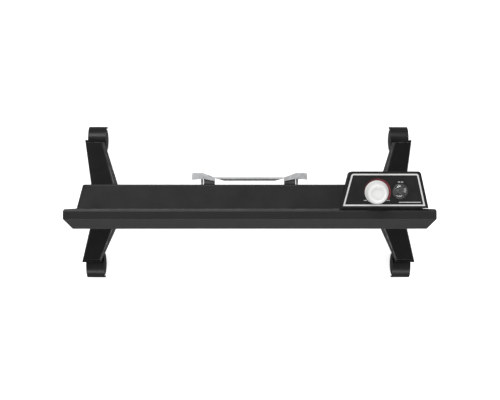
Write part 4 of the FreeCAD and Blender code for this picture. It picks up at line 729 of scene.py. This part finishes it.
# %% The arc swells towards its warm end
arc_inner, arc_width, arc_swell, swell_power = 18.6 * mm, 1.6 * mm, 3.0 * mm, 0.6
for vert in arc.data.vertices:
    turn = math.atan2(vert.co.y, vert.co.x)
    turn = turn + 2 * math.pi if turn < -0.001 else max(turn, 0.0)
    swell = arc_width + arc_swell * (turn / arc_sweep) ** swell_power
    is_near = vert.co.length < (near_end + far_end) / 2
    radius = arc_inner if is_near else arc_inner + swell
    vert.co = (radius * math.cos(arc_start - turn), radius * math.sin(arc_start - turn), 0)
bpy.ops.object.mode_set(mode="EDIT")
bpy.ops.mesh.select_all(action="SELECT")
bpy.ops.mesh.extrude_region_move(TRANSFORM_OT_translate={"value": (0, 0, ink)})
bpy.ops.object.mode_set(mode="OBJECT")
outward(arc)
put_at(arc, on_face)
finish_piece(arc, "heater", print_red)


# %% Small words
type_size_of_capitals, stroke_growth = 1.4, 0.05
clear_of_plate = 0.01 * mm


def printed_word(name, text, across, up, height, width):
    """A generic word as a thin mesh on the face, centred at a point and fitted to a width."""
    bpy.ops.object.text_add()
    word = start_piece(name)
    word.data.body = text
    word.data.align_x = "CENTER"
    word.data.align_y = "CENTER"
    word.data.size = height * type_size_of_capitals
    word.data.extrude = ink / 2
    word.data.offset = height * stroke_growth
    word.data.resolution_u = 3
    bpy.ops.object.convert(target="MESH")
    word = start_piece(name)
    outward(word)
    low = min(vert.co.x for vert in word.data.vertices)
    high = max(vert.co.x for vert in word.data.vertices)
    fit = Matrix.Diagonal((width / (high - low), 1, 1, 1))
    put_at(word, on_face @ Matrix.Translation((across, up, ink / 2 + clear_of_plate)) @ fit)
    finish_piece(word, "heater", print_white)


switch_low, switch_high = face_box("switch_housing")
cap_low, cap_high = face_box("switch_cap")
switch_across = (switch_low.x + switch_high.x) / 2
switch_up = (cap_low.y + cap_high.y) / 2
printed_word("face_word_min", "MIN", across=-17.4 * mm, up=-13.8 * mm,
             height=1.3 * mm, width=5.0 * mm)
printed_word("face_word_max", "MAX", across=19.0 * mm, up=-13.8 * mm,
             height=1.4 * mm, width=5.4 * mm)
printed_word("face_word_switch", "OFF  ON", across=switch_across, up=switch_up + 15.0 * mm,
             height=2.0 * mm, width=8.4 * mm)

# %% A plain printed rule in front of the switch
rule_length, rule_width, rule_start, rule_up = 35 * mm, 1.1 * mm, 1.5 * mm, 7.4 * mm
rule = flat_piece("face_trim_rule",
                  [(0, 0), (rule_length, 0), (rule_length, rule_width), (0, rule_width)], ink)
rule_place = (switch_across - rule_start, plate_low.y + rule_up, 0)
put_at(rule, on_face @ Matrix.Translation(rule_place))
finish_piece(rule, "heater", print_white)

# %% [markdown]
# ## Turned pieces
# A knob, a wheel and a switch cap are all turned forms. The CAD part holds them with few facets,
# which is right for a simulation and too coarse for a picture. Stacked cylinders could be joined
# for each. Spinning half an outline about an axis gives a round form in one step, and the outline
# is easy to read: radius and height, point by point. An open outline whose two ends lie on the
# axis makes a closed solid.


# %% An outline, and its spin
def outline_piece(name, points):
    """A primitive ring of verts moved to an outline of (radius, height) points."""
    bpy.ops.mesh.primitive_circle_add(vertices=len(points), radius=1, fill_type="NOTHING")
    piece = start_piece(name)
    for vert, (radius, height) in zip(piece.data.vertices, points):
        vert.co = (radius, 0, height)
    return piece


def turned(name, points, segments=96):
    """Spins an open outline once round Z, from its start on the axis to its end on the axis."""
    piece = outline_piece(name, points)
    bpy.ops.object.mode_set(mode="EDIT")
    last = len(points) - 1
    pick(piece, "edges", lambda edge: {vert.index for vert in edge.verts} == {0, last})
    bpy.ops.mesh.delete(type="EDGE_FACE")
    bpy.ops.mesh.select_all(action="SELECT")
    bpy.ops.mesh.spin(steps=segments, angle=2 * math.pi, center=(0, 0, 0), axis=(0, 0, 1))
    bpy.ops.object.mode_set(mode="OBJECT")
    outward(piece)
    return piece


# %% Rounded edges and smooth shading
def round_edges(piece, width, segments=2, degrees=35):
    """A Bevel modifier on the sharp edges, applied at once."""
    select_only(piece)
    bevel = piece.modifiers.new("round", "BEVEL")
    bevel.width = width
    bevel.segments = segments
    bevel.limit_method = "ANGLE"
    bevel.angle_limit = math.radians(degrees)
    bpy.ops.object.modifier_apply(modifier=bevel.name)


def smooth(piece, degrees):
    """Smooth shading, crisp where faces meet at more than the angle, and level on broad faces."""
    select_only(piece)
    bpy.ops.object.shade_smooth_by_angle(angle=math.radians(degrees))
    weigh = piece.modifiers.new("weigh", "WEIGHTED_NORMAL")
    weigh.keep_sharp = True
    bpy.ops.object.modifier_apply(modifier=weigh.name)


# %% [markdown]
# ## The knob
# The knob is a white cap that tapers from a broad skirt to a dished top, with a small raised
# pointer at its back. A plain cone would do for the silhouette, but the soft shoulder and the rim
# round the dish are what catch the light, so the outline has both, and a Bevel rounds what is left.

# %% Knob
knob_low, knob_high = face_box("knob")
skirt = (knob_high.x - knob_low.x) / 2
lift, crown = knob_low.z, knob_high.z
shaft_radius, shaft_top = 3.1 * mm, face_box("thermostat_shaft")[1].z + 0.1 * mm
dish_floor, ceiling = crown - 3.0 * mm, crown - 5.0 * mm
sleeve, sleeve_foot = 5.5 * mm, lift + 5.4 * mm
dish = [(0, dish_floor), (10.4 * mm, dish_floor), (12.0 * mm, crown - 0.5 * mm)]
shoulder = [(13.4 * mm, crown - 0.1 * mm), (15.0 * mm, crown - 1.4 * mm),
            (16.6 * mm, crown - 4.6 * mm)]
flank = [(skirt - 0.9 * mm, lift + 4.0 * mm), (skirt - 0.1 * mm, lift + 2.8 * mm),
         (skirt - 0.1 * mm, lift)]
hollow = [(skirt - 2.0 * mm, lift), (14.0 * mm, ceiling), (sleeve, ceiling), (sleeve, sleeve_foot)]
socket = [(shaft_radius, sleeve_foot), (shaft_radius, shaft_top), (0, shaft_top)]
knob = turned("knob_cap", dish + shoulder + flank + hollow + socket, segments=128)
round_edges(knob, 0.7 * mm, segments=3, degrees=18)
put_at(knob, on_face)
smooth(knob, 40)
finish_piece(knob, "knob", knob_white, replaced=["knob"])

# %% Pointer: a small block whose top leans back from the dish
pointer_size, top_leans = (1.6 * mm, 5.0 * mm, 2.6 * mm), (0, 1.2 * mm, -0.8 * mm)
bpy.ops.mesh.primitive_cube_add(size=1)
pointer = start_piece("knob_pointer")
bpy.ops.object.mode_set(mode="EDIT")
bpy.ops.mesh.select_all(action="SELECT")
bpy.ops.transform.resize(value=pointer_size)
pick(pointer, "verts", lambda vert: vert.co.z > 0 and vert.co.y < 0)
bpy.ops.transform.translate(value=top_leans)
bpy.ops.object.mode_set(mode="OBJECT")
round_edges(pointer, 0.3 * mm, segments=3)
put_at(pointer, on_face @ Matrix.Translation((0, 9.6 * mm, crown - 2.0 * mm)))
smooth(pointer, 40)
finish_piece(pointer, "knob", knob_white)

# %% [markdown]
# ## The covered switch
# The round rocker sits in a black bezel under a clear dome. Half a ball would do for the dome, but
# it is a thin shell with an inside of its own, because light that goes in and out of a real wall
# gives the two glints that a solid drop would not.

# %% Bezel with its barrel and the rocker's well
bezel_top = cap_low.z
bezel_radius = switch_high.x - switch_across
well_radius, well_floor = 8.2 * mm, -10.0 * mm
barrel_radius, barrel_depth, bezel_break = 10.0 * mm, 15.0 * mm, 0.6 * mm
bezel = turned("switch_bezel", [
    (0, well_floor), (well_radius, well_floor), (well_radius, bezel_top),
    (bezel_radius - bezel_break, bezel_top), (bezel_radius, bezel_top - bezel_break),
    (bezel_radius, 0), (barrel_radius, 0), (barrel_radius, -barrel_depth), (0, -barrel_depth)])
switch_place = on_face @ Matrix.Translation((switch_across, switch_up, 0))
put_at(bezel, switch_place)
smooth(bezel, 40)
finish_piece(bezel, "heater", switch_black, replaced=["switch_housing"])


# %% Clear dome as a shell
def dome(rim, height, rise, steps):
    """Points of a ball's cap from its rim up to the axis."""
    ball = (rim * rim + rise * rise) / (2 * rise)
    half = math.asin(min(1.0, rim / ball))
    angles = [half * (1 - i / steps) for i in range(steps + 1)]
    return [(ball * math.sin(angle), height + rise - ball + ball * math.cos(angle))
            for angle in angles]


cap_rim = (cap_high.x - cap_low.x) / 2
cap_wall, crown_wall, cap_skirt = 1.4 * mm, 0.8 * mm, 1.6 * mm
inner_rim = cap_rim - cap_wall
wall_top = bezel_top + cap_skirt
rise = cap_high.z - wall_top
shell = [(cap_rim, bezel_top)] + dome(cap_rim, wall_top, rise, 14)
hollow = dome(inner_rim, wall_top, rise - crown_wall, 14)
lens = turned("switch_dome", hollow[::-1] + [(inner_rim, bezel_top)] + shell)
put_at(lens, switch_place)
smooth(lens, 50)
finish_piece(lens, "heater", cap_clear, replaced=["switch_cap"])

# %% [markdown]
# ## Castors
# Each castor is a hood over two wheels with domed faces. The wheels spin, so each rides on its own
# body, and the hood rides on the swivelling one. A plain cylinder would show a hard rim, so the
# wheel's outline has a domed face and is spun about Z. One wheel is modelled and then copied to
# each axle, laid on its side.

# %% One wheel
dome_rise, edge_break, bore = 2.4 * mm, 1.2 * mm, 3.2 * mm
hub, wheel_wall = 6.0 * mm, 2.4 * mm


def wheel_outline(width, radius):
    """A wheel's bore, open inner side, tread and domed face, up to the face's middle."""
    rim = width - dome_rise
    bored = [(0, width - wheel_wall), (bore, width - wheel_wall), (bore, 0)]
    inner = [(hub, 0), (hub, rim - wheel_wall),
             (radius - wheel_wall - edge_break, rim - wheel_wall), (radius - wheel_wall, 0)]
    tread = [(radius - edge_break, 0), (radius, edge_break), (radius, rim - edge_break)]
    return bored + inner + tread + dome(radius - edge_break, rim, dome_rise, 8)


low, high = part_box("wheel_outer_back_left")
wheel_model = turned("wheel_model", wheel_outline(high.x - low.x, (high.z - low.z) / 2))
round_edges(wheel_model, 0.5 * mm, segments=2, degrees=30)
print("one wheel is", round((high.z - low.z) / mm, 1), "mm across")


# %% Eight wheels
def copy_of(model, name):
    """Another piece of the same form, with a mesh of its own."""
    piece = model.copy()
    piece.data = model.data.copy()
    piece.name = name
    piece.data.name = name
    bpy.context.scene.collection.objects.link(piece)
    return piece


def drop(piece):
    """Deletes a piece that has served."""
    select_only(piece)
    bpy.ops.object.delete()


for name, joint in joints.items():
    if not name.startswith("wheel_spin_"):
        continue
    node = joint["child"]
    corner = node.split("_", 2)[2]
    low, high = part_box(node)
    swivel_x = joints["castor_swivel_" + corner]["pos_m"][0]
    towards = 1 if low.x + high.x > 2 * swivel_x else -1
    start = low.x if towards > 0 else high.x
    lay = Matrix.Rotation(math.radians(90 * towards), 4, "Y")
    wheel = copy_of(wheel_model, node + "_dressed")
    put_at(wheel, Matrix.Translation((start, *joint["pos_m"][1:])) @ lay)
    smooth(wheel, 35)
    finish_piece(wheel, node, nylon_black, replaced=[node])
drop(wheel_model)

# %% [markdown]
# The hood is one moulding: a strip bent over the wheels, a web between them and a boss for the
# stem. A block could be hollowed out, but it is built as it works: the strip is a flat section
# spun part of the way round the axle, the web is a slice of a disc, and a Boolean unites them. It
# is modelled once, as a back castor with its axle at the origin. Both ends are alike, so a front
# castor is the same hood after half a turn.


# %% A bent strip, and pieces joined to one skin
def arch(name, inner, outer, half_width, start, sweep):
    """A curved strip: a section spun part of the way round Z, its two ends filled.

    The rotate and the spin both turn clockwise for a positive angle, so each takes a minus sign.
    """
    piece = outline_piece(name, [(inner, -half_width), (outer, -half_width),
                                 (outer, half_width), (inner, half_width)])
    bpy.ops.object.mode_set(mode="EDIT")
    bpy.ops.mesh.select_all(action="SELECT")
    bpy.ops.transform.rotate(value=-start, orient_axis="Z", center_override=(0, 0, 0))
    bpy.ops.mesh.spin(steps=40, angle=-sweep, center=(0, 0, 0), axis=(0, 0, 1))
    pick(piece, "edges", lambda edge: edge.is_boundary)
    bpy.ops.mesh.edge_face_add()
    bpy.ops.object.mode_set(mode="OBJECT")
    outward(piece)
    return piece


def joined(main, *others):
    """Unites closed pieces into one skin."""
    for other in others:
        select_only(main)
        unite = main.modifiers.new("unite", "BOOLEAN")
        unite.operation = "UNION"
        unite.solver = "EXACT"
        unite.object = other
        bpy.ops.object.modifier_apply(modifier=unite.name)
        drop(other)


# %% One hood: the strip
swivel = Vector(joints["castor_swivel_back_left"]["pos_m"])
axle = Vector(joints["wheel_spin_outer_back_left"]["pos_m"])
low, high = (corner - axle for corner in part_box("castor_hood_back_left"))
hood_wall, first, last = 2.4 * mm, math.radians(-16), math.radians(128)
outer, inner = high.y, high.y - hood_wall
hood_model = arch("hood_model", inner, outer, (high.x - low.x) / 2, first, last - first)
put_at(hood_model, Matrix(((0, 0, 1), (1, 0, 0), (0, 1, 0))).to_4x4())
print("a strip", round((high.x - low.x) / mm, 1), "mm wide")

# %% One hood: the web between the wheels
web_width, web_overlap = 5 * mm, 1.2 * mm
bpy.ops.mesh.primitive_cylinder_add(vertices=72, radius=inner + web_overlap, depth=web_width,
                                    location=(0, 0, 0), rotation=(0, math.pi / 2, 0))
web = start_piece("web")
apply_place(web)
bpy.ops.object.mode_set(mode="EDIT")
bpy.ops.mesh.select_all(action="SELECT")
bpy.ops.mesh.bisect(plane_co=(0, 0, inner * math.sin(first)), plane_no=(0, 0, 1),
                    use_fill=True, clear_inner=True)
bpy.ops.object.mode_set(mode="OBJECT")
print("a web", round(web.dimensions.x / mm, 1), "mm thick")

# %% One hood: the stem's boss, and all three in one skin
boss_radius = 6.7 * mm
stem = swivel - axle
bpy.ops.mesh.primitive_cylinder_add(vertices=48, radius=boss_radius, depth=high.z,
                                    location=(stem.x, stem.y, high.z / 2))
boss = start_piece("boss")
apply_place(boss)
joined(hood_model, web, boss)
round_edges(hood_model, 0.5 * mm, segments=2, degrees=40)
outward(hood_model)
print("one hood has", len(hood_model.data.polygons), "faces")

# %% Four hoods
for corner in ("back_left", "back_right", "front_left", "front_right"):
    swivel = Vector(joints["castor_swivel_" + corner]["pos_m"])
    axle = Vector(joints["wheel_spin_outer_" + corner]["pos_m"])
    half_turn = Matrix.Rotation(0 if axle.y > swivel.y else math.pi, 4, "Z")
    hood = copy_of(hood_model, "castor_hood_%s_dressed" % corner)
    put_at(hood, Matrix.Translation(axle) @ half_turn)
    smooth(hood, 35)
    finish_piece(hood, "castor_" + corner, nylon_black,
                 replaced=["castor_hood_" + corner])
drop(hood_model)

# %% [markdown]
# ## Folded sheets with soft folds
# A press brake can't fold a knife edge, and the coat rounds every rim a little more. The CAD
# sheets have their large radii already, so folding each sheet again from a plane would only repeat
# them. What is left is a copy of each sheet with its doubles merged, its flat facets joined, and a
# Bevel of about half a millimetre on every fold and rim.


# %% Softened copies
def sheet_copy(node):
    """A copy of a CAD part, its doubles merged and its flat facets joined."""
    piece = copy_of(nodes[node], node + "_dressed")
    select_only(piece)
    bpy.ops.object.mode_set(mode="EDIT")
    bpy.ops.mesh.select_all(action="SELECT")
    bpy.ops.mesh.remove_doubles(threshold=0.01 * mm)
    bpy.ops.mesh.dissolve_limited(angle_limit=math.radians(1.0))
    bpy.ops.object.mode_set(mode="OBJECT")
    return piece


def soften(piece, node, body, width):
    """Rounds the sharp edges of a copy and puts it in its CAD part's place."""
    round_edges(piece, width, segments=2, degrees=25)
    outward(piece)
    smooth(piece, 40)
    finish_piece(piece, body, finishes[slot_of[node]], replaced=[node])


# %% [markdown]
# Two folds show best from above and are drawn out wider than in the CAD part: the panel's back
# edge, about 4 mm wide, and the feet's inner edges. A wider Bevel would eat into the inner skin. So
# a point on such a fold is known by how far it lies in from the edge and below the top, and both
# distances are stretched, for the outer skin and the inner skin alike, so that the sheet keeps its
# thickness.


# %% Draw out a fold
def drawn_out(inward, below, sheet, fold, fold_seen, fall_seen):
    """New distances in from the edge and below the top, for a point on a fold of a sheet."""
    on_outside = math.hypot(fold - inward, fold - below) > fold - sheet / 2
    skin = 0 if on_outside else sheet
    share = (inward - skin) / (fold - skin)
    wider = skin + share * (fold_seen - skin)
    if share > 0.02:
        below = skin + (fall_seen - 0.6 * skin) * (1 - min(share, 1))
    return wider, below


# %% [markdown]
# The panel is one sheet with a bevel all round its face. Its end bevels are a little steeper than its
# top bevel, so the face's ends move out. Its level top gets painted light, a paler colour where light
# falls on it from above, which has a finish of its own.

# %% The front panel
panel = sheet_copy("front_panel")
panel_low, panel_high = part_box("front_panel")
sheet, fold, fold_seen, fall_seen, steeper = 1.2 * mm, 3.0 * mm, 4.0 * mm, 2.0 * mm, 2.5 * mm
skins, near = sheet * 1.1, fold * 1.01
face_edge = max(vert.co.x for vert in panel.data.vertices if vert.co.y < panel_low.y + sheet / 2)
for vert in panel.data.vertices:
    place = vert.co
    if place.y < panel_low.y + skins and abs(place.x) > face_edge - skins:
        place.x += math.copysign(steeper, place.x)
    inward, below = panel_high.y - place.y, panel_high.z - place.z
    if inward < near and below < near:
        inward, below = drawn_out(inward, below, sheet, fold, fold_seen, fall_seen)
        place.y, place.z = panel_high.y - inward, panel_high.z - below
soften(panel, "front_panel", "heater", 0.3 * mm)
smooth(panel, 16)
# this finish carries painted light: a paler colour on the panel's level top
panel.data.materials[0] = panel_coat_with_painted_light

# %% [markdown]
# A foot is a chevron-shaped channel: level under the body, then sloping down to a lip at each end.
# To draw out its inner fold, each half is measured from the knee, which is the chevron's inner
# corner, along the line to that half's tip.

# %% A foot's top
flat_front, flat_back = -46 * mm, 33 * mm
lip, margin = 5 * mm, 0.2 * mm
foot_sheet, foot_fold, foot_fold_seen, foot_fall_seen = 1.6 * mm, 2.0 * mm, 4.6 * mm, 2.9 * mm


def foot_top(y, low, high, end_heights):
    """The height of a foot's top: level in the middle, sloping towards the lips."""
    if y > flat_back:
        share = (y - flat_back) / (high.y - lip - flat_back)
        return high.z + (end_heights["back"] - high.z) * min(1, share)
    if y < flat_front:
        share = (flat_front - y) / (flat_front - low.y - lip)
        return high.z + (end_heights["front"] - high.z) * min(1, share)
    return high.z


# %% The feet
for side, name in ((-1, "foot_left"), (1, "foot_right")):
    foot = sheet_copy(name)
    points = [vert.co.copy() for vert in foot.data.vertices]
    low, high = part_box(name)
    back_end = [point for point in points if point.y > high.y - lip - margin]
    front_end = [point for point in points if point.y < low.y + lip + margin]
    ends = {"back": back_end, "front": front_end}
    tips = {end: min(ends[end], key=lambda point: abs(point.x)) for end in ends}
    end_heights = {end: max(point.z for point in ends[end]) for end in ends}
    knee = min(points, key=lambda point: abs(point.x))
    moved = 0
    for vert in foot.data.vertices:
        place = vert.co
        along = (tips["back" if place.y > knee.y else "front"] - knee).to_2d().normalized()
        across = Vector((-along.y, along.x))
        across = across if across.x * side > 0 else -across
        inward = (place - knee).to_2d().dot(across)
        top = foot_top(place.y, low, high, end_heights)
        below = top - place.z
        if -0.1 * mm < inward < foot_fold * 1.05 and -0.3 * mm < below < foot_fold * 1.1:
            wider, below = drawn_out(inward, below, foot_sheet, foot_fold,
                                     foot_fold_seen, foot_fall_seen)
            place.x += across.x * (wider - inward)
            place.y += across.y * (wider - inward)
            place.z = top - below
            moved += 1
    print(name, "has", moved, "points on its inner fold")
    soften(foot, name, "heater", 0.3 * mm)
    smooth(foot, 16)

# %% [markdown]
# The control tub is the lower half of the control box, let into the casing. The head above it
# narrows towards the back, so the tub's left wall is turned in with it, by 3 mm at the back, and
# stays hidden from above. A lattice could do that. Moving the wall's points by their depth takes
# three lines.

# %% The control tub
tub = sheet_copy("control_tub")
tub_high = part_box("control_tub")[1]
tub_turned_in, flange, wall_zone = 3.0 * mm, 10 * mm, 3.1 * mm
wall_left = min(vert.co.x for vert in tub.data.vertices if vert.co.z < tub_high.z - flange)
for vert in tub.data.vertices:
    place = vert.co
    if place.x < wall_left + wall_zone and place.z < tub_high.z - 0.1 * mm and place.y > 0:
        place.x += tub_turned_in * min(1, place.y / tub_high.y)
soften(tub, "control_tub", "heater", 0.3 * mm)

# %% [markdown]
# The rear casing is a drawn steel tray and the control cover is a moulding. Both have their right
# shape in the CAD part already, so they only get softer edges, the moulding a little more.

# %% The rear casing and the control cover
for node, width in (("rear_casing", 0.5 * mm), ("control_cover", 0.6 * mm)):
    soften(sheet_copy(node), node, "heater", width)

# %% [markdown]
# The wall bracket is galvanised sheet with an ear at each end, and a hook on each ear goes into
# the casing beside a lock. A press cuts the ears with round corners. They could be cut from a new
# plate, but the copy has all its slots already, so its corner edges are picked and beveled, and
# each hook's tongue is made slim by moving its outer side in.

# %% The wall bracket
bracket = sheet_copy("wall_bracket")
reach = max(vert.co.x for vert in bracket.data.vertices)
ear_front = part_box("wall_bracket")[1].y - 5 * mm
hook_outer, hook_seen, touch = 88 * mm, 82 * mm, 0.01 * mm
ear_corner, ear_segments = 2.2 * mm, 5
for vert in bracket.data.vertices:
    if abs(abs(vert.co.x) - hook_outer) < 5 * touch and vert.co.y < ear_front:
        vert.co.x = math.copysign(hook_seen, vert.co.x)


def is_ear_corner(edge):
    """True for an upright edge at a bracket's far end."""
    rise = abs(edge.verts[0].co.z - edge.verts[1].co.z)
    at_end = all(abs(abs(vert.co.x) - reach) < touch for vert in edge.verts)
    return at_end and rise > 0.9 * edge.calc_length()


bpy.ops.object.mode_set(mode="EDIT")
corners = pick(bracket, "edges", is_ear_corner)
bpy.ops.mesh.bevel(offset=ear_corner, segments=ear_segments, affect="EDGES")
bpy.ops.object.mode_set(mode="OBJECT")
print("rounded", corners, "corners of the bracket's ears")
soften(bracket, "wall_bracket", "heater", 0.3 * mm)

# %% The two locks
for side in ("left", "right"):
    lock = sheet_copy("bracket_lock_" + side)
    soften(lock, "bracket_lock_" + side, "lock_" + side, 0.5 * mm)
    lock.data.materials[0] = lock_grey
print("two grey locks")
